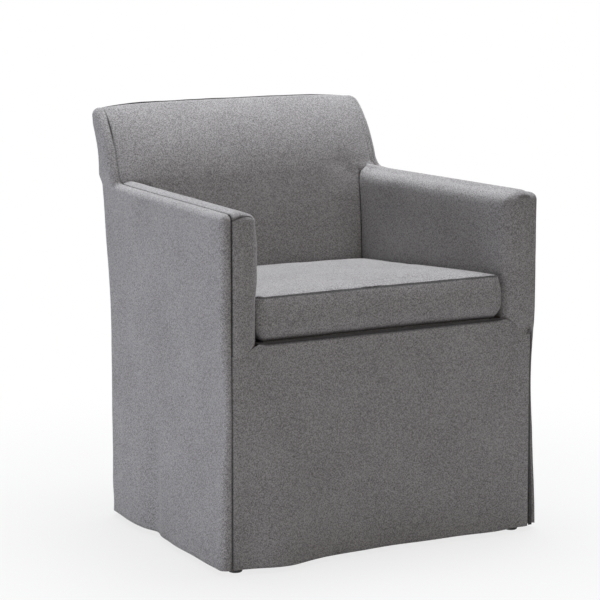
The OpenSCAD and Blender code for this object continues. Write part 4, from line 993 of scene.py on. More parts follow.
def dust_sheet():
    y = np.concatenate([np.linspace(dust_y[0], dust_y[1], 8), np.linspace(dust_y[1], dust_y[2], 60)[1:],
        np.linspace(dust_y[2], dust_y[3], 6)[1:]])
    narrow = np.interp(y, dust_y, dust_half)[:, None]
    wide = np.interp(y, dust_y[1:3], dust_half_wide)[:, None]
    between = (y >= dust_y[1]) & (y <= dust_y[2])
    y = y[:, None]
    work = Patchwork()

    def add(x, y):
        points = np.stack([x, y - deck_round + 0 * x, dust_level(x, y)], -1)
        work.add(pitched(points), np.stack([x, y + 0 * x], -1))

    add(np.linspace(-1, 1, 72)[None, :] * narrow, y)
    for side in (-1, 1):
        add(side * mix(narrow[between], wide[between], np.linspace(0, 1, 5)[None, :]), y[between])
    return work.mesh("dust_sheet", (0, 0, 900))


covers["dust"] = dust_sheet()

# %% [markdown]
# ## Webbing
#
# Elastic straps carry the seat foam, and three more carry the back foam between the rear posts. On a real
# seat an upholsterer interlaces them. Here the cross straps lie flat and the long ones pass over and under
# them, which a rise along each strap does without any simulation.

# %% Straps
STRAP_WIDTH, STRAP_LEVEL, OVER = 50.0, -13.9, 0.75
long_x, long_ends = [-156.0, -78.0, 0.0, 78.0, 156.0], (6.0, 481.1)
cross_y, cross_half = [68.0, 158.1, 248.2, 338.2, 428.3], [285.9, 280.2, 274.5, 268.75, 263.0]
deck_up = pitched(np.array([0.0, 0, 1])) - pitched(np.array([0.0, 0, 0]))


def strap(name, start, end, count, up, rise=lambda t: 0 * t):
    """A slightly cupped strap from start to end; rise(t) lifts it along up, in millimetres."""
    along = (end - start) / np.linalg.norm(end - start)
    side = np.cross(up, along)
    t, u = np.linspace(0, 1, count), np.linspace(-0.5, 0.5, 9)
    cup = 0.35 * (1 - (2 * u) ** 2)
    points = (start + (end - start) * t[:, None, None] + side * (u * STRAP_WIDTH)[None, :, None]
        + up * (rise(t)[:, None, None] + cup[None, :, None]))
    work = Patchwork()
    work.add(points, unrolled(points))
    return work.mesh(name, start + (end - start) / 2 - up * 500)


def woven_rise(first):
    """Up at every other cross strap and down between, fading out to both ends."""
    at = [long_ends[0] + 22] + cross_y + [long_ends[1] - 22]
    up = [0] + [first * (-1) ** i for i in range(len(cross_y))] + [0]
    return lambda t: OVER * np.sin(np.interp(mix(*long_ends, t), at, up) * math.pi / 2)

# %% [markdown]
# The seat's straps run between the rails. The back's straps lie on the rear posts' fronts, which lean, so
# each gets the depth and height of its lower and upper edge, and half its length.

# %% Webbing
straps = {"seat_straps_long": [], "seat_straps_cross": [], "back_straps": []}
for i, x in enumerate(long_x):
    ends = [pitched(np.array([x, y, STRAP_LEVEL])) for y in long_ends]
    rise = woven_rise(1 if i % 2 else -1)
    straps["seat_straps_long"].append(strap(f"long_strap_{i + 1}", *ends, 90, deck_up, rise))
for i, (y, half) in enumerate(zip(cross_y, cross_half)):
    ends = [pitched(np.array([x, y, STRAP_LEVEL])) for x in (half, -half)]
    straps["seat_straps_cross"].append(strap(f"cross_strap_{i + 1}", *ends, 100, deck_up))
back_places = (((190.6, 475.5), (198.3, 524.9), 260.3), ((199.1, 530.5), (206.7, 579.9), 259.8),
    ((220.4, 656.1), (242.3, 701.0), 258.0))
for i, (low, high, half) in enumerate(back_places):
    middle = (np.array(low) + np.array(high)) / 2
    lean = np.array([0, high[0] - low[0], high[1] - low[1]])
    up = np.cross([1.0, 0, 0], lean / np.linalg.norm(lean))
    ends = [np.array([s * half, middle[0] + 0.7, middle[1]]) for s in (1, -1)]
    straps["back_straps"].append(strap(f"back_strap_{i + 1}", *ends, 90, up))

# %% [markdown]
# ## Foam
#
# The foam keeps its CAD form, but a cut block of foam has soft edges. A voxel remesh of a copy gives even
# faces, and a few rounds of smoothing take the cut edges down. A bevel would need clean edges to start from.

# %% Foam pads
def evaluated_copy(ob, name):
    """The object with its modifiers applied, as a plain mesh."""
    depsgraph = bpy.context.evaluated_depsgraph_get()
    me = bpy.data.meshes.new_from_object(ob.evaluated_get(depsgraph))
    me.name = name
    return in_scene(name, me)


def foam_pad(node, name, voxel, rounds, shrink=0.0):
    raw = in_scene(name + "_raw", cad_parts[node].data.copy())
    raw.data.materials.clear()
    m = raw.modifiers.new("even", "REMESH")
    m.mode, m.voxel_size = "VOXEL", voxel
    m = raw.modifiers.new("soft", "SMOOTH")
    m.factor, m.iterations = 0.5, rounds
    m = raw.modifiers.new("eased", "DISPLACE")
    m.strength, m.mid_level = -shrink * MM, 0.0
    out = evaluated_copy(raw, name)
    bpy.data.objects.remove(raw)
    for old in list(out.data.attributes):
        if old.name.startswith(("UVMap", "Color", "Col")):
            out.data.attributes.remove(old)
    out.data.shade_smooth()
    print(name, len(out.data.polygons), "faces")
    return out

# %% [markdown]
# Foam must not poke through its cover, so the pads are eased by the same formulas as the cloth over them.

# %% Ease the pads under their covers
SKIN = 3.0


def ease_back(ob):
    """The back's foam follows the rounded bend and the dimple of its cover."""
    for v in ob.data.vertices:
        x, z = v.co.x / MM, v.co.z / MM
        if float(rear_y(z)) + front_y - v.co.y / MM > 25:
            dimple = 3.4 * float(bell((x - DIMPLE_X) / 30) * bell((z - 642) / 30))
            v.co.y += (float(belly(z)) + dimple) * MM
        v.co.x = settled(np.array(v.co) / MM)[0] * MM
    return ob


def ease_arm(ob):
    """The arm's foam is rounded along its inner edges like the cover on it."""
    for v in ob.data.vertices:
        x, y, z = abs(v.co.x) / MM, v.co.y / MM - front_y, v.co.z / MM
        top, inner, front = (max(0.0, d) for d in (arm_height - z, x - arm_inner_half(y), y))
        moved = 0.0
        for a, axis, share in ((top, 2, 1 - float(smooth((y - 410) / 40))), (front, 1, 1.0)):
            p, q = max(0.0, a - SKIN) - ROUND, max(0.0, inner - SKIN) - ROUND
            if p < 0 and q < 0:
                root = math.sqrt(max(0.0, (p + q) ** 2 - 2 * (p * p + q * q - ROUND ** 2)))
                cut = share * max(0.0, (-(p + q) - root) / 2)
                v.co[axis] += cut * MM * (-1 if axis == 2 else 1)
                moved = max(moved, cut)
        v.co.x += math.copysign(moved * MM, v.co.x)
    return ob


foams = {
    "deck_foam_pad": foam_pad("deck_foam_pad", "deck_foam_block", 0.004, 2),
    "arm_foam_left": ease_arm(foam_pad("arm_foam_left", "arm_foam_block_left", 0.005, 12, 2.2)),
    "arm_foam_right": ease_arm(foam_pad("arm_foam_right", "arm_foam_block_right", 0.005, 12, 2.2)),
    "back_foam": ease_back(foam_pad("back_foam", "back_foam_block", 0.006, 4, 1.2))}

# %% [markdown]
# ## Seat cushion
#
# The cushion is a boxed cover over foam: a top and a bottom panel with a border between them. Foam pressing
# against sewn cloth gives its shape, so the cover is laid out flat-sided from the CAD outline and a short
# cloth simulation with inner pressure fills it. The motion is capped, since the arms hold the cushion.

# %% Cushion outline
cushion_height, cushion_crown, cushion_depth = 80.0, 9.0, 444.0
cushion_corner, cushion_gap, cushion_waist = 16.0, 1.5, 3.0
TOP_INSET, LOW_INSET, CORNER_SHARE = 3.5, 17.0, 0.045
cushion_front = 3 - deck_round
cushion_rear = cushion_front + cushion_depth
cushion_middle = (cushion_front + cushion_rear) / 2
taper = math.degrees(math.atan(taper_tan))
corner_angles = [(180 - taper, 270), (270, 360 + taper), (taper, 90), (90, 180 - taper)]
edge_normals = [(0, 1), (-1, 0), (0, 0), (1, 0)]


def corner_point(k, share, inset):
    """A point of corner k: 0 and 1 in front, 2 and 3 behind."""
    y = cushion_front + cushion_corner if k < 2 else cushion_rear - cushion_corner
    half = arm_inner_half(y + deck_round) - cushion_gap
    x = (half - cushion_corner / math.cos(math.radians(taper))) * (1 if k in (1, 2) else -1)
    a = math.radians(mix(*corner_angles[k], share))
    return np.array([x, y]) + (cushion_corner - inset) * np.array([math.cos(a), math.sin(a)])


def cushion_side(k, inset, count):
    """Points of one side, from the middle of corner k to the middle of the next."""
    points, after = [], (k + 1) % 4
    for t in np.linspace(0, 1, count):
        if t < CORNER_SHARE:
            points.append(corner_point(k, 0.5 + 0.5 * t / CORNER_SHARE, inset))
        elif t > 1 - CORNER_SHARE:
            points.append(corner_point(after, 0.5 * (t - 1 + CORNER_SHARE) / CORNER_SHARE, inset))
        else:
            f = (t - CORNER_SHARE) / (1 - 2 * CORNER_SHARE)
            straight = mix(corner_point(k, 1, inset), corner_point(after, 0, inset), f)
            points.append(straight + np.array(edge_normals[k]) * cushion_waist * math.sin(math.pi * f))
    return np.array(points)

# %% [markdown]
# A panel's grid is filled in between its four sides, which share their corner points. The border is a ring of
# the same four sides at every level, and its inset makes it stand upright above and draw in below.

# %% Cushion grids
def panel_grid(inset, nx, ny):
    front, right = cushion_side(0, inset, nx), cushion_side(1, inset, ny)
    rear, left = cushion_side(2, inset, nx)[::-1], cushion_side(3, inset, ny)[::-1]
    u, v = np.linspace(0, 1, nx)[None, :, None], np.linspace(0, 1, ny)[:, None, None]
    corners = mix(mix(front[0], front[-1], u), mix(rear[0], rear[-1], u), v)
    return mix(front[None], rear[None], v) + mix(left[:, None], right[:, None], u) - corners


def border_ring(level, nx, ny):
    if level > 0.5:
        inset = TOP_INSET * (2 * level - 1) ** 2
    else:
        inset = LOW_INSET * abs(1 - 2 * level) ** 3.2
    sides = [cushion_side(k, inset, nx if k % 2 == 0 else ny) for k in range(4)]
    ring = np.concatenate([s[:-1] for s in sides] + [sides[0][:1]])
    return np.concatenate([ring, np.full((len(ring), 1), level * cushion_height)], 1)


def cushion_patches(nx, ny, levels):
    """Top, border and bottom as grids of points in the deck's frame."""
    u, v = np.linspace(-1, 1, nx)[None, :], np.linspace(-1, 1, ny)[:, None]
    crown = cushion_crown * (1 - np.abs(u) ** 2.6) * (1 - np.abs(v) ** 2.6)
    top = np.concatenate([panel_grid(TOP_INSET, nx, ny), (cushion_height + crown)[..., None]], -1)
    low = np.concatenate([panel_grid(LOW_INSET, nx, ny), np.zeros((ny, nx, 1))], -1)
    return top, np.stack([border_ring(level, nx, ny) for level in levels]), low

# %% [markdown]
# The simulation runs on a coarse copy, and its motion is then spread over the fine one. That keeps it fast,
# and the narrow cells along the seams never enter the solver. Where the motion leads inwards it is left out,
# because foam fills the cover there.

# %% Fill the cushion with pressure
COARSE, coarse_levels = (56, 52), np.linspace(0, 1, 9)
FILL_FRAMES, MOTION_CAP = 20, 4.0


def vertex_places(me):
    places = np.empty(len(me.vertices) * 3)
    me.vertices.foreach_get("co", places)
    return places.reshape(-1, 3)


def fill_with_pressure(ob):
    """Runs the cloth, and returns where its vertices started and how far each moved, in millimetres."""
    start = vertex_places(ob.data)
    m = ob.modifiers.new("cloth", "CLOTH")
    s = m.settings
    s.quality, s.mass, s.use_pressure, s.uniform_pressure_force = 6, 0.3, True, 4.0
    s.tension_stiffness, s.compression_stiffness, s.shear_stiffness, s.bending_stiffness = 30, 30, 12, 1.5
    s.tension_damping = s.compression_damping = s.shear_damping = 12
    s.effector_weights.gravity = 0
    m.point_cache.frame_start, m.point_cache.frame_end = 1, FILL_FRAMES
    scene = bpy.context.scene
    for f in range(1, FILL_FRAMES + 1):
        scene.frame_set(f)
    done = vertex_places(ob.evaluated_get(bpy.context.evaluated_depsgraph_get()).data)
    scene.frame_set(1)
    return start / MM, (done - start) / MM


def simulated(patches):
    """Motion of every point of the patches under pressure, in millimetres, capped."""
    work = Patchwork()
    for grid in patches:
        work.add(grid, grid[..., :2])
    ob = work.mesh("cushion_trial", (0, cushion_middle, cushion_height / 2))
    start, motion = fill_with_pressure(ob)
    bpy.data.objects.remove(ob)
    motion *= np.minimum(1, MOTION_CAP / np.maximum(np.linalg.norm(motion, axis=1, keepdims=True), 1e-9))
    tree = kdtree.KDTree(len(start))
    for i, p in enumerate(start):
        tree.insert(p, i)
    tree.balance()
    where = [tree.find(p)[1] for grid in patches for p in grid.reshape(-1, 3)]
    motion = motion[where]
    away = (start[where] - (0, cushion_middle, 0)) * (1, 1, 0)
    away /= np.maximum(np.linalg.norm(away, axis=1, keepdims=True), 1e-6)
    motion -= np.minimum(0, (motion * away).sum(1, keepdims=True)) * away
    print("cushion motion", round(float(np.abs(motion).max()), 2), "mm at most")
    ends = np.cumsum([grid.shape[0] * grid.shape[1] for grid in patches])[:-1]
    return [part.reshape(grid.shape) for part, grid in zip(np.split(motion, ends), patches)]


coarse = cushion_patches(*COARSE, coarse_levels)
motions = simulated(coarse)

# %% [markdown]
# The fine cushion has its rows and columns close together at the seams. The coarse motion is read between
# its points, and the small unevenness of a filled cover, the puckers beside the seams and the seams
# themselves are added to it.

# %% Spread the motion
FINE = (151, 141)
SEAM_DIP = 2.6
fine_levels = np.concatenate([[0, 0.006, 0.014, 0.024, 0.038, 0.055], np.linspace(0.09, 0.91, 24),
    [0.945, 0.962, 0.976, 0.986, 0.994, 1.0]])


def spread(field, rows, cols):
    """A coarse grid of vectors read at finer rows and columns, both given from 0 to 1."""
    r0, c0 = np.linspace(0, 1, field.shape[0]), np.linspace(0, 1, field.shape[1])
    layers = []
    for k in range(3):
        wide = np.stack([np.interp(cols, c0, line) for line in field[..., k]])
        layers.append(np.stack([np.interp(rows, r0, line) for line in wide.T], 1))
    return np.stack(layers, -1)


def ring_stations(nx, ny):
    """Where the fine ring's columns lie on the coarse ring, side by side, from 0 to 1."""
    steps = [m - 1 for m in COARSE] * 2
    starts = np.cumsum([0] + steps)
    ring = [np.linspace(0, 1, n)[:-1] * step + start for n, step, start in zip((nx, ny) * 2, steps, starts)]
    return np.concatenate(ring + [starts[-1:]]) / starts[-1]


def rim_distance(shape):
    """How many cells a point lies from the nearest side of its grid."""
    i, j = (np.minimum(np.arange(n), np.arange(n)[::-1]) for n in shape[:2])
    return np.minimum(i[:, None], j[None, :])


def outward(grid):
    """Level unit vectors away from the cushion's middle."""
    away = grid[..., :2] - np.array([0.0, cushion_middle])
    return away / np.linalg.norm(away, axis=-1, keepdims=True)

# %% [markdown]
# Waves lift the top and the bottom upright and fade out at their rims. The border bulges level, away from the
# cushion's middle, and its upper edge waves a little. The rims of top and bottom are then set to the border's
# edges, so that the seams stay shut.

# %% Uneven cushion panels
def uneven_panel(grid, sign):
    """Gives the top (sign 1) or the bottom (sign -1) its soft waves, and draws its rim in to the seam."""
    cells = rim_distance(grid.shape)
    rim = clamp01(1 - cells / 3.0) ** 2
    grid[..., :2] -= outward(grid) * (SEAM_DIP * rim)[..., None]
    x, y = grid[..., 0], grid[..., 1]
    soft = 0.9 * waves(x / 70, y / 60, 130 + sign) + 0.35 * waves(x / 24, y / 22, 134 + sign)
    soft = soft + 0.8 * np.exp(-cells / 7.0) * waves((x + y) / 9, 0 * x + sign, 137)
    hold = clamp01(cells / 5.0)
    grid[..., 2] += np.where(sign > 0, soft * hold, np.abs(soft) * hold * 0.4)


def uneven_border(border):
    """Bulges the border between its seams, most in front, and returns the lengths along it."""
    level = np.broadcast_to(fine_levels[:, None], border.shape[:2])
    to_seam = np.minimum(level, 1 - level)
    rim = clamp01(1 - to_seam * cushion_height / 3.0) ** 2
    out = outward(border)
    steps = np.linalg.norm(np.diff(border[len(border) // 2, :, :2], axis=0), axis=1)
    length = np.concatenate([[0], np.cumsum(steps)])
    between = np.sin(np.pi * level)
    bulge = 1.3 * between + 0.9 * waves(length[None, :] / 55, level * 1.5, 140) * between
    bulge += 0.5 * waves(length[None, :] / 9, level * 4, 141) * np.exp(-to_seam * 12)
    front = clamp01(-out[..., 1]) ** 2
    side_front = np.abs(out[..., 0]) ** 2 * smooth((40 - border[..., 1]) / 40)
    bulge += (2.6 * front + 2.6 * side_front - 1.2 * (1 - front)) * between ** 0.8
    border[..., :2] += out * (bulge * (1 - rim) - SEAM_DIP * rim)[..., None]
    border[..., 2] += 0.9 * waves(length[None, :] / 30, 0 * level, 143) * level ** 6
    border[:, -1] = border[:, 0]
    return length


def cushion_panels():
    nx, ny = FINE
    top, border, low = cushion_patches(nx, ny, fine_levels)
    u, v = np.linspace(0, 1, nx), np.linspace(0, 1, ny)
    spring = (1 - np.abs(2 * u[None, :] - 1) ** 3) * (1 - np.abs(2 * v[:, None] - 1) ** 3)
    top = top + spread(motions[0], v, u)
    top[..., 2] += 3.0 * spring
    border = border + spread(motions[1], fine_levels, ring_stations(nx, ny))
    low = low + spread(motions[2], v, u)
    uneven_panel(top, 1)
    uneven_panel(low, -1)
    length = uneven_border(border)
    # the panels' rims are the border's own points, side by side from the left front corner
    for grid, ring in ((top, border[-1]), (low, border[0])):
        grid[0], grid[-1] = ring[:nx], ring[nx + ny - 2:2 * nx + ny - 2][::-1]
        grid[:, -1], grid[:, 0] = ring[nx - 1:nx + ny - 1], ring[2 * nx + ny - 3:2 * nx + 2 * ny - 3][::-1]
    return top, border, low, length

# %% [markdown]
# The rear of the border opens with a zip, so the fine border leaves a window there: its mesh is added in four
# parts round the window.

# %% Cushion pieces
ZIP_WINDOW = (142.0, 7.5)


def on_deck(points):
    return pitched(points + np.array([0, 0, 0.3]))


def cushion_panel(name, grid, core_z):
    work = Patchwork()
    # painted shade along the rim, in the seam's shadow
    work.add(on_deck(grid), grid[..., :2], clamp01(1.2 - rim_distance(grid.shape) / 1.2))
    return work.mesh(name, on_deck(np.array([0.0, cushion_middle, core_z])))


def border_piece(border, length):
    """The border, with shade painted at its seams and low down, in the shadow where it stands on the deck,
    and the corners of its zip window.
    """
    uv = np.stack([np.broadcast_to(length[None, :], border.shape[:2]), border[..., 2]], -1)
    level = np.broadcast_to(fine_levels[:, None], border.shape[:2])
    from_top, from_deck = (1 - level) * cushion_height, level * cushion_height
    # painted shade: below the top seam, and low down in the shadow over the deck
    shade = np.maximum(clamp01(2.3 - from_top / 1.5), clamp01(1.4 - from_deck / 6.0))
    middle = border[len(border) // 2]
    cols = np.flatnonzero((middle[:, 1] > cushion_rear - 12) & (np.abs(middle[:, 0]) < ZIP_WINDOW[0]))
    rows = np.flatnonzero(np.abs(border[:, 0, 2] - cushion_height / 2) < ZIP_WINDOW[1])
    c0, c1, r0, r1 = cols[0], cols[-1], rows[0], rows[-1]
    placed = on_deck(border)
    work = Patchwork()
    for part in (np.s_[:r0 + 1, :], np.s_[r1:, :], np.s_[r0:r1 + 1, :c0 + 1], np.s_[r0:r1 + 1, c1:]):
        work.add(placed[part], uv[part], shade[part])
    window = border[r0:r1 + 1, c0:c1 + 1]
    print("zip window", window.min((0, 1)).round(1), window.max((0, 1)).round(1))
    return work.mesh("cushion_border_cloth", on_deck(np.array([0.0, cushion_middle, cushion_height / 2])))


top, border, low, length = cushion_panels()
cushion_top = cushion_panel("cushion_top_cloth", top, -400)
cushion_bottom = cushion_panel("cushion_bottom_cloth", low, 900)
cushion_border = border_piece(border, length)
foams["cushion_foam"] = foam_pad("cushion_foam", "cushion_foam_block", 0.006, 8, 2.4)

# %% [markdown]
# ## Nodes from expressions
#
# Finishes and repeats are node trees, and long trees are hard to read as code. So one class wraps a socket,
# and `a * 2 + b` adds the Math nodes. One method adds every other node: its settings first, then its inputs.

# %% Wires and trees
class Wire:
    """An output socket in a tree."""
    def __init__(self, tree, socket):
        self.tree, self.socket = tree, socket

    def math(self, op, *args):
        return self.tree.node("ShaderNodeMath", {"operation": op}, *args)

    def other(self, name):
        """Another output of the same node."""
        return Wire(self.tree, self.socket.node.outputs[name])

    def __add__(self, o):
        return self.math("ADD", self, o)

    def __radd__(self, o):
        return self.math("ADD", o, self)

    def __sub__(self, o):
        return self.math("SUBTRACT", self, o)

    def __rsub__(self, o):
        return self.math("SUBTRACT", o, self)

    def __mul__(self, o):
        return self.math("MULTIPLY", self, o)

    def __rmul__(self, o):
        return self.math("MULTIPLY", o, self)

    def __pow__(self, o):
        return self.math("POWER", self, o)

    def __mod__(self, o):
        return self.math("MODULO", self, o)

    def sin(self):
        return self.math("SINE", self)

    def abs(self):
        return self.math("ABSOLUTE", self)

    def floor(self):
        return self.math("FLOOR", self)

    def fract(self):
        return self.math("FRACT", self)

    def max(self, o):
        return self.math("MAXIMUM", self, o)

    def step(self, low, high):
        return self.tree.node("ShaderNodeMapRange", {"interpolation_type": "SMOOTHSTEP"}, self, low, high)


class Tree:
    """A node tree that nodes are added to."""
    def __init__(self, tree):
        self.tree = tree

    def node(self, kind, settings=None, *args, **named):
        """Adds a node with its inputs in order or by name, and returns its first output."""
        n = self.tree.nodes.new(kind)
        for key, value in (settings or {}).items():
            setattr(n, key, value)
        usable = [s for s in n.inputs if s.enabled]
        pairs = list(zip(usable, args))
        for key, value in named.items():
            pairs.append((next(s for s in usable if s.name == key.replace("_", " ")), value))
        for sock, value in pairs:
            self.put(sock, value)
        return next((Wire(self, s) for s in n.outputs if s.enabled), None)

    def put(self, sock, value):
        if isinstance(value, Wire):
            self.tree.links.new(value.socket, sock)
        else:
            sock.default_value = value

    def join(self, x, y=0.0, z=0.0):
        return self.node("ShaderNodeCombineXYZ", None, x, y, z)

# %% [markdown]
# ## Repeats
#
# The zip's teeth, its stitches and the staples are one small rounded shape, repeated along a line. A copy
# loop would do it too, but a Geometry Nodes tree keeps the spacing and the sizes as inputs that can be
# changed.

# %% Repeat along a line
def repeat_tree(name, labels, material):
    """The tree, and the identifiers of its inputs. Every other piece is shifted the other way by Swap."""
    group = bpy.data.node_groups.new(name, "GeometryNodeTree")
    sockets = group.interface
    sockets.new_socket("Geometry", in_out="INPUT", socket_type="NodeSocketGeometry")
    ids = {k: sockets.new_socket(k, in_out="INPUT", socket_type="NodeSocketFloat").identifier for k in labels}
    sockets.new_socket("Geometry", in_out="OUTPUT", socket_type="NodeSocketGeometry")
    t = Tree(group)
    given = t.node("NodeGroupInput")
    even = t.node("GeometryNodeResampleCurve", {"mode": "LENGTH"}, Curve=given, Length=given.other("Spacing"))
    at = t.node("GeometryNodeCurveToPoints", {"mode": "EVALUATED"}, Curve=even)
    size = t.join(given.other("Length"), given.other("Width"), given.other("Height"))
    ball = t.node("GeometryNodeMeshUVSphere", None, Segments=10, Rings=6, Radius=0.5)
    swap = (t.node("GeometryNodeInputIndex") % 2.0 * 2.0 - 1.0) * given.other("Swap")
    pieces = t.node("GeometryNodeInstanceOnPoints", None, Points=at, Instance=ball,
        Rotation=at.other("Rotation"), Scale=size)
    moved = t.node("GeometryNodeTranslateInstances", None, Instances=pieces, Translation=t.join(swap))
    real = t.node("GeometryNodeRealizeInstances", None, Geometry=moved)
    painted = t.node("GeometryNodeSetMaterial", None, Geometry=real, Material=material)
    t.node("NodeGroupOutput", None, Geometry=painted)
    return group, ids


def repeat_along(name, points, piece, spacing, material, swap=0.0):
    """Pieces of a length, width and height along a line of points, all in metres."""
    curve = bpy.data.curves.new(name + "_path", "CURVE")
    curve.dimensions = "3D"
    spline = curve.splines.new("POLY")
    spline.points.add(len(points) - 1)
    for p, q in zip(spline.points, points):
        p.co = (*q, 1)
    path = in_scene(name + "_path", curve)
    sizes = {"Spacing": spacing, "Length": piece[0], "Width": piece[1], "Height": piece[2], "Swap": swap}
    m = path.modifiers.new("repeat", "NODES")
    m.node_group, ids = repeat_tree(name + "_repeat", sizes, material)
    for label, value in sizes.items():
        m[ids[label]] = float(value)
    bpy.context.view_layer.update()
    result = evaluated_copy(path, name)
    bpy.data.objects.remove(path)
    result.data.shade_smooth()
    print(name, len(result.data.polygons), "faces")
    return result

# %% [markdown]
# ## Paint
#
# A material starts from the Principled shader. What a formula doesn't touch is set straight on the shader,
# and the helpers here are the few patterns that all finishes share.

# %% Paint
class Paint(Tree):
    """A material whose tree can be painted with formulas."""
    def __init__(self, name):
        self.material = bpy.data.materials.new(name)
        self.material.use_nodes = True
        super().__init__(self.material.node_tree)
        self.shader = self.tree.nodes["Principled BSDF"]

    def set(self, **values):
        for key, value in values.items():
            self.put(self.shader.inputs[key.replace("_", " ")], value)

    def split(self, wire):
        x = self.node("ShaderNodeSeparateXYZ", None, wire)
        return x, x.other("Y"), x.other("Z")

    def object_place(self):
        return self.node("ShaderNodeTexCoord").other("Object")

    def uv(self):
        return self.node("ShaderNodeUVMap", {"uv_map": "unrolled"})

    def noise(self, at, scale, detail=2.0, rough=0.5):
        return self.node("ShaderNodeTexNoise", None, Vector=at, Scale=scale, Detail=detail, Roughness=rough)

    def blend(self, share, a, b):
        return self.node("ShaderNodeMix", {"data_type": "RGBA"}, Factor=share, A=a, B=b)

    def bump(self, heights, distance, strength=1.0):
        bumped = self.node("ShaderNodeBump", None, Strength=strength, Distance=distance, Height=heights)
        self.set(Normal=bumped)


def rgb(*srgb):
    """A colour of 0 to 255 per channel as linear light."""
    shares = [v / 255 for v in srgb]
    return tuple(v / 12.92 if v <= 0.04045 else ((v + 0.055) / 1.055) ** 2.4 for v in shares) + (1.0,)

# %% [markdown]
# ## Cover cloth
#
# The cover is a plain weave of mixed yarns. Every warp thread and every weft thread gets its own run of
# lighter and darker fibre, and where they cross the one on top shows. A bump follows the threads. Sheen
# gives the soft light rim of brushed cloth. Where the mesh's painted-shade attribute rises, in seams and
# shadowed recesses, the colour is darkened as painted shade.

# %% Woven finishes
def woven(name, light, dark, thread=0.0015, contrast=1.0, sheen=0.2):
    p = Paint(name)
    x, y, _ = p.split(p.uv())
    column, row = (x * (1 / thread)).floor(), (y * (1 / thread)).floor()
    warp = p.noise(p.join(column * 7.31, y * 260.0), 1.0, 3.0, 0.7)
    weft = p.noise(p.join(x * 260.0, row * 7.31 + 400.0), 1.0, 3.0, 0.7)
    over = ((column + row) * 0.5).fract() * 2.0
    yarn = warp * over + weft * (1.0 - over)
    cloud = p.noise(p.join(x, y), 9.0, 2.0, 0.5)
    share = ((yarn - 0.5) * (3.1 * contrast) + (cloud - 0.5) * 0.25 + 0.5).step(0.0, 1.0)
    # painted shade: the attribute blends the colour towards a near-black shadow colour
    ditch = p.node("ShaderNodeAttribute", {"attribute_name": "ditch"}).other("Fac")
    shadow = tuple(0.12 * c for c in dark[:3]) + (1.0,)
    p.set(Base_Color=p.blend(ditch * 0.85, p.blend(share, dark, light), shadow), Roughness=warp * 0.05 + 0.9,
        Sheen_Weight=sheen, Sheen_Roughness=0.45, Specular_IOR_Level=0.2)
    ridges = [(v * (math.pi / thread)).sin().abs() for v in (x, y)]
    p.bump(ridges[0] * over + ridges[1] * (1.0 - over), 0.0002, 0.4)
    return p.material


def webbed(name, light, dark, rib=0.0016):
    """Strap or tape: ribs along the length and a herringbone across."""
    p = Paint(name)
    x, y, _ = p.split(p.uv())
    ribs = (x * (2 * math.pi / rib)).sin()
    bone = ((y * (2 * math.pi / rib)) + (x * (2 * math.pi / (rib * 6))).sin() * 3.0).sin()
    fibre = p.noise(p.join(x * 900.0, y * 120.0), 1.0, 2.0)
    p.set(Base_Color=p.blend((ribs * 0.2 + bone * 0.2 + fibre * 0.6 + 0.1).step(0.0, 1.0), dark, light),
        Roughness=fibre * 0.15 + 0.7, Sheen_Weight=0.15)
    p.bump(ribs * 0.5 + bone * 0.4 + fibre * 0.2, 0.0003, 0.8)
    return p.material


def nonwoven(name):
    """Pressed fibres with a grid of small welded dots."""
    p = Paint(name)
    x, y, _ = p.split(p.uv())
    fibre = p.noise(p.join(x * 500.0, y * 900.0), 1.0, 4.0, 0.65)
    dots = p.node("ShaderNodeTexVoronoi", None, Vector=p.join(x, y), Scale=420.0)
    p.set(Base_Color=p.blend((fibre + dots * 0.3).step(0.3, 0.9), rgb(30, 30, 33), rgb(62, 62, 66)),
        Roughness=fibre * 0.1 + 0.8)
    p.bump(fibre + dots * 0.4, 0.0002, 0.7)
    return p.material

# %% [markdown]
# ## Timber, foam and metal
#
# Beech shows fine flecks along its length, plywood shows its layers on the edge, foam shows cells, and the
# zinc-plated screws are a little cloudy. All of these read object coordinates.

# %% Timber
def timber(name, light, dark, along="Z", rings=46.0):
    p = Paint(name)
    x, y, z = p.split(p.object_place())
    flow = {"X": (x * 0.5, y * 8.0, z * 8.0), "Z": (x * 8.0, y * 8.0, z * 0.5)}[along]
    wander = p.noise(p.join(*flow), 3.0, 3.0, 0.55)
    ring = ((wander * 6.0 + (x + y * 1.7 + z * (0.3 if along == "Z" else 1.9)) * rings).sin() * 0.5 + 0.5)
    fleck_at = {"X": (x * 40.0, y * 900.0, z * 900.0), "Z": (x * 900.0, y * 900.0, z * 40.0)}[along]
    fleck = p.noise(p.join(*fleck_at), 1.0, 2.0).step(0.52, 0.7)
    p.set(Base_Color=p.blend((ring * 0.55 + fleck * 0.35).step(0.0, 1.0), light, dark),
        Roughness=fleck * 0.1 + 0.5, Coat_Weight=ring * 0.05 + 0.05)
    p.bump(fleck * 0.4 + ring * 0.3, 0.0003, 0.5)
    return p.material


def plywood(name):
    p = Paint(name)
    x, y, z = p.split(p.object_place())
    face = ((p.noise(p.join(x * 8.0, y * 8.0, z * 0.6), 4.0, 4.0) * 40.0).sin() * 0.5 + 0.5)
    layer = ((x + y) * (1 / 0.0022)).fract().step(0.4, 0.6)
    p.set(Base_Color=p.blend(face * 0.5 + layer * 0.4, rgb(214, 184, 142), rgb(158, 120, 82)),
        Roughness=face * 0.1 + 0.6)
    p.bump(face * 0.5 + layer * 0.3, 0.0003, 0.5)
    return p.material

# %% [markdown]
# Foam, metal and plastic differ in little more than their grain: cells for foam, fine scratches for metal, a
# close grain with some wear for plastic.

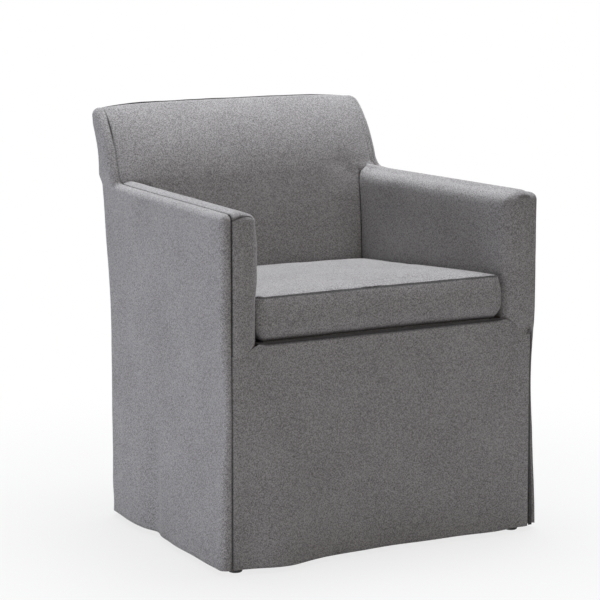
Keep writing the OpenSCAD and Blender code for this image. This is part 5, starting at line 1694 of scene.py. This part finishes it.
# %% Foam, metal and plastic
def foam(name):
    p = Paint(name)
    at = p.object_place()
    cell = p.node("ShaderNodeTexVoronoi", None, Vector=at, Scale=620.0)
    stain = p.noise(at, 12.0, 3.0)
    p.set(Base_Color=p.blend(cell * 0.6 + stain * 0.5, rgb(238, 229, 190), rgb(206, 190, 140)),
        Roughness=cell * 0.1 + 0.88)
    p.bump(cell, 0.0004, 0.7)
    return p.material


def metal(name, light, dark, rough):
    p = Paint(name)
    at = p.object_place()
    cloud, scratch = p.noise(at, 240.0, 3.0), p.noise(at, 1400.0, 2.0)
    p.set(Base_Color=p.blend(cloud, light, dark), Metallic=1.0,
        Roughness=cloud * 0.15 + scratch * 0.1 + rough)
    p.bump(scratch, 0.00004, 0.4)
    return p.material


def plastic(name, light, dark, rough=0.4):
    p = Paint(name)
    at = p.object_place()
    grain, wear = p.noise(at, 1500.0, 2.0), p.noise(at, 90.0, 3.0)
    p.set(Base_Color=p.blend(wear, dark, light), Roughness=grain * 0.15 + wear * 0.15 + rough)
    p.bump(grain, 0.00006, 0.5)
    return p.material


paints = {
    "cover_cloth": woven("cover weave", rgb(184, 182, 182), rgb(108, 106, 106)),
    "lining_cloth": woven("lining weave", rgb(86, 86, 90), rgb(58, 58, 62), 0.0009, 0.6, 0.1),
    "dust_cloth": nonwoven("dust cloth"),
    "webbing": webbed("webbing", rgb(70, 70, 74), rgb(34, 34, 37)),
    "zip_tape": webbed("zip tape", rgb(58, 58, 62), rgb(28, 28, 31), 0.0011),
    "beech": timber("beech", rgb(214, 178, 134), rgb(176, 134, 92)),
    "rail_wood": timber("rail wood", rgb(206, 172, 128), rgb(168, 128, 88), "X"),
    "block_wood": timber("block wood", rgb(220, 188, 146), rgb(184, 146, 104), "Z", 70.0),
    "plywood": plywood("plywood"),
    "foam": foam("foam"),
    "zinc_steel": metal("zinc steel", rgb(200, 203, 208), rgb(150, 153, 160), 0.25),
    "zip_metal": metal("zip metal", rgb(150, 153, 158), rgb(96, 98, 104), 0.3),
    "glide_plastic": plastic("glide plastic", rgb(44, 43, 44), rgb(22, 22, 23))}
thread_paint = webbed("sewing thread", rgb(96, 96, 100), rgb(60, 60, 64), 0.0004)
print(len(paints) + 1, "finishes")

# %% [markdown]
# ## Zip and staples
#
# The zip is one woven tape with a row of moulded teeth, in the window of the cushion's rear border. The teeth
# and the two rows of stitches that hold the tape come from the repeat tree with other sizes. The webbing is
# held by staples on the rails, across each end of the long straps.

# %% Zip pieces
zip_z = cushion_height / 2


def tape():
    work = Patchwork()
    x, z = np.linspace(-141.4, 141.4, 90)[None, :], np.linspace(-7.4, 7.4, 12)[:, None]
    y = cushion_rear - 0.9 + 0.35 * waves(x / 20, z / 9, 150) - 0.6 * (np.abs(z) < 0.6)
    grid = np.stack([x + 0 * y, y, zip_z + z + 0 * y], -1)
    work.add(on_deck(grid), grid[..., [2, 0]])
    return work.mesh("zip_tape_woven", on_deck(np.array([0.0, 0, 40])))


def zip_line(half, y, z):
    return [tuple(on_deck(np.array([x, y, z])) * MM) for x in np.linspace(-half, half, 80)]


zip_tape_cloth = tape()
TOOTH, STITCH, STAPLE = (0.0022, 0.0009, 0.0012), (0.0006, 0.0006, 0.0022), (0.0008, 0.0012, 0.006)
zip_teeth = repeat_along("zip_teeth", zip_line(138.4, cushion_rear + 0.1, zip_z), TOOTH, 0.0012,
    paints["zip_metal"], swap=0.00045)
zip_stitches = [repeat_along(f"zip_stitches_{i}", zip_line(140.5, cushion_rear - 0.35, zip_z + dz), STITCH,
    0.0032, thread_paint) for i, dz in enumerate((-6.0, 6.0))]
staples = []
for i, x in enumerate(long_x):
    for j, y in enumerate((13.0, 474.0)):
        line = [tuple(pitched(np.array([end, y, -12.0])) * MM) for end in (x - 19, x + 19)]
        staples.append(repeat_along(f"staples_{i}_{j}", line, STAPLE, 0.0125, paints["zinc_steel"]))

# %% [markdown]
# ## Put the pieces together
#
# The CAD pieces that stay get their finish by their material's name. Each cover panel gets its thickness and
# paint, takes the place of its CAD node, and rides with its body.

# %% Assign the finishes
CLOTH, THIN, WEBBING = 1.6, 0.8, 1.2


def finish_piece(ob, slot, body, nodes=()):
    ob.data.materials.clear()
    ob.data.materials.append(paints[slot])
    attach(ob, body)
    if nodes:
        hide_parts(*nodes)


for node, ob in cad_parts.items():
    for k, old in enumerate(ob.data.materials):
        slot = next((s for s in sorted(paints, key=len, reverse=True) if old and s in old.name), "beech")
        ob.data.materials[k] = paints[slot]

# each cloth: its node, the flat size that it is cut to in metres, how it is held, and what it rests on
cloths = {
    "side_left": ("side_cover_left", (0.60, 0.83), "hung", ("arm_foam_block_left", "arm_board_outer_left")),
    "side_right": ("side_cover_right", (0.60, 0.83), "hung",
        ("arm_foam_block_right", "arm_board_outer_right")),
    "arm_left": ("arm_cover_left", (0.55, 0.30), "stretched", ("arm_foam_block_left",)),
    "arm_right": ("arm_cover_right", (0.55, 0.30), "stretched", ("arm_foam_block_right",)),
    "inside_back": ("inside_back_cover", (0.57, 0.46), "stretched", ("back_foam_block",)),
    "outside_back": ("outside_back_cover", (0.60, 0.79), "hung", ("rear_post_left", "rear_post_right")),
    "front": ("front_cover", (0.65, 0.44), "hung", ("front_seat_rail",)),
    "flap_left": ("pleat_flap_left", (0.14, 0.38), "hung", ("side_cover_cloth_left",)),
    "flap_right": ("pleat_flap_right", (0.14, 0.38), "hung", ("side_cover_cloth_right",)),
    "deck": ("deck_cloth", (0.51, 0.42), "laid", ("deck_foam_block",)),
    "dust": ("dust_cloth", (0.58, 0.48), "stretched", ("front_seat_rail", "rear_seat_rail"))}
for key, (node, *_) in cloths.items():
    slot = {"deck": "lining_cloth", "dust": "dust_cloth"}.get(key, "cover_cloth")
    thicken(covers[key], THIN if key == "dust" else CLOTH)
    finish_piece(covers[key], slot, "chair", (node,))

# %% [markdown]
# Each cloth's area is printed beside the flat size it was cut to, with its share of that size.

def declare_sheet(ob, flat):
    area, cut = cloth_area(ob), flat[0] * flat[1]
    print(ob.name, "area", round(area, 4), "flat", flat, "share", round(area / cut, 3))
    round(min(area, 0.999 * cut), 4)


for key, (_, flat, held, rests_on) in cloths.items():
    declare_sheet(covers[key], flat)
for ob, node, flat in ((cushion_top, "cushion_top", (0.51, 0.47)),
        (cushion_bottom, "cushion_bottom", (0.50, 0.46)), (cushion_border, "cushion_border", (1.85, 0.095))):
    thicken(ob, CLOTH)
    finish_piece(ob, "cover_cloth", "seat_cushion", (node,))
    declare_sheet(ob, flat)
for node, ob in foams.items():
    finish_piece(ob, "foam", "seat_cushion" if node == "cushion_foam" else "chair", (node,))

# %% [markdown]
# Each group of straps is one CAD node, so its first strap replaces it and the others ride along. The teeth,
# stitches and staples replace nothing.

for node, group in straps.items():
    for k, ob in enumerate(group):
        length = max(ob.dimensions)
        thicken(ob, WEBBING)
        finish_piece(ob, "webbing", "chair", (node,) if k == 0 else ())
thicken(zip_tape_cloth, THIN)
finish_piece(zip_tape_cloth, "zip_tape", "seat_cushion", ("cushion_zip",))
for slot, body, group in (("zip_metal", "seat_cushion", [zip_teeth]),
        ("zip_tape", "seat_cushion", zip_stitches), ("zinc_steel", "chair", staples)):
    for ob in group:
        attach(ob, body)

# %% [markdown]
# ## Studio
#
# The chair stands on a pale floor that meets a white background. One soft light hangs above, a long low one
# stands at the left, a weak warm one fills from the front, and the rest is even light from all round. The
# white is only what the camera and reflections see, so that it adds no light to the chair.

# %% Floor
def seen_directly(tree):
    """1 for what the camera, a reflection or clear material sees."""
    eye = tree.node("ShaderNodeLightPath")
    return eye.max(eye.other("Is Glossy Ray")).max(eye.other("Is Transmission Ray"))


FLOOR_HALF = 14.0
corners = [(x * FLOOR_HALF, y * FLOOR_HALF, 0) for x, y in ((-1, -1), (1, -1), (1, 1), (-1, 1))]
floor_mesh = bpy.data.meshes.new("floor")
floor_mesh.from_pydata(corners, [], [(0, 1, 2, 3)])
floor = in_scene("floor", floor_mesh)
floor_paint = Paint("floor")
x, y, _ = floor_paint.split(floor_paint.object_place())
far = ((x * x + y * y) ** 0.5).step(0.3, 1.3) * 0.22 + 0.78
speck = floor_paint.noise(floor_paint.object_place(), 60.0, 3.0)
floor_paint.set(Base_Color=floor_paint.blend(speck, rgb(206, 206, 206), rgb(212, 212, 212)), Roughness=0.95,
    Specular_IOR_Level=0.1)
white = floor_paint.node("ShaderNodeEmission", None, (1.0, 1.0, 1.0, 1.0), 1.0)
lit = Wire(floor_paint, floor_paint.shader.outputs[0])
shown = floor_paint.node("ShaderNodeMixShader", None, far * seen_directly(floor_paint), lit, white)
floor_paint.put(floor_paint.tree.nodes["Material Output"].inputs["Surface"], shown)
floor.data.materials.append(floor_paint.material)
floor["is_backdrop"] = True

# %% [markdown]
# The lamps are area lights, because the chair's folds need soft edges to their shadows. Their sizes decide
# how soft, and their colours how warm each side is.

# %% Lamps and world
def area_light(name, at, to, size, power, colour):
    data = bpy.data.lights.new(name, "AREA")
    data.shape, data.size, data.size_y, data.energy, data.color = "RECTANGLE", size[0], size[1], power, colour
    ob = in_scene(name, data)
    ob.location = at
    ob.rotation_euler = (Vector(to) - Vector(at)).to_track_quat("-Z", "Y").to_euler()
    return ob


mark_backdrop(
    area_light("key", (0.4, 0.5, 3.3), (0.1, 0.15, 0.5), (2.0, 2.0), 126.0, (0.94, 0.96, 1.0)),
    area_light("side", (-3.4, 0.3, 0.5), (0, 0, 0.45), (2.6, 0.9), 48.5, (0.89, 0.91, 1.0)),
    area_light("front", (-0.4, -4.4, 1.6), (0, 0, 0.5), (3.0, 2.0), 19.5, (1.0, 0.88, 0.78)))
world = bpy.data.worlds.new("studio")
bpy.context.scene.world = world
world.use_nodes = True
world.node_tree.nodes.clear()
sky = Tree(world.node_tree)
around = sky.node("ShaderNodeBackground", None, (0.975, 0.96, 0.965, 1.0), 0.142)
backdrop = sky.node("ShaderNodeBackground", None, (1.0, 1.0, 1.0, 1.0), 1.0)
both = sky.node("ShaderNodeMixShader", None, seen_directly(sky), around, backdrop)
sky.node("ShaderNodeOutputWorld", None, both)

# %% [markdown]
# ## Camera
#
# The chair is seen from its front left, a little above its seat, with a long lens.

# %% Camera
FOCAL_LENGTH, SENSOR = 148.1, 36.0
azimuth, elevation = math.radians(29.94), math.radians(9.54)
camera_data = bpy.data.cameras.new("camera")
camera_data.lens, camera_data.sensor_width, camera_data.sensor_height = FOCAL_LENGTH, SENSOR, SENSOR
camera_data.sensor_fit = "HORIZONTAL"
camera = in_scene("camera", camera_data)
camera.location = (-2.2922, -3.9570, 1.1903)
forward = Vector((math.sin(azimuth) * math.cos(elevation), math.cos(azimuth) * math.cos(elevation),
    -math.sin(elevation)))
camera.rotation_euler = forward.to_track_quat("-Z", "Y").to_euler()
bpy.context.scene.camera = camera
bpy.context.scene.view_settings.view_transform = "Standard"

low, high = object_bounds()
print("visual box", [round(v, 4) for v in low], [round(v, 4) for v in high])
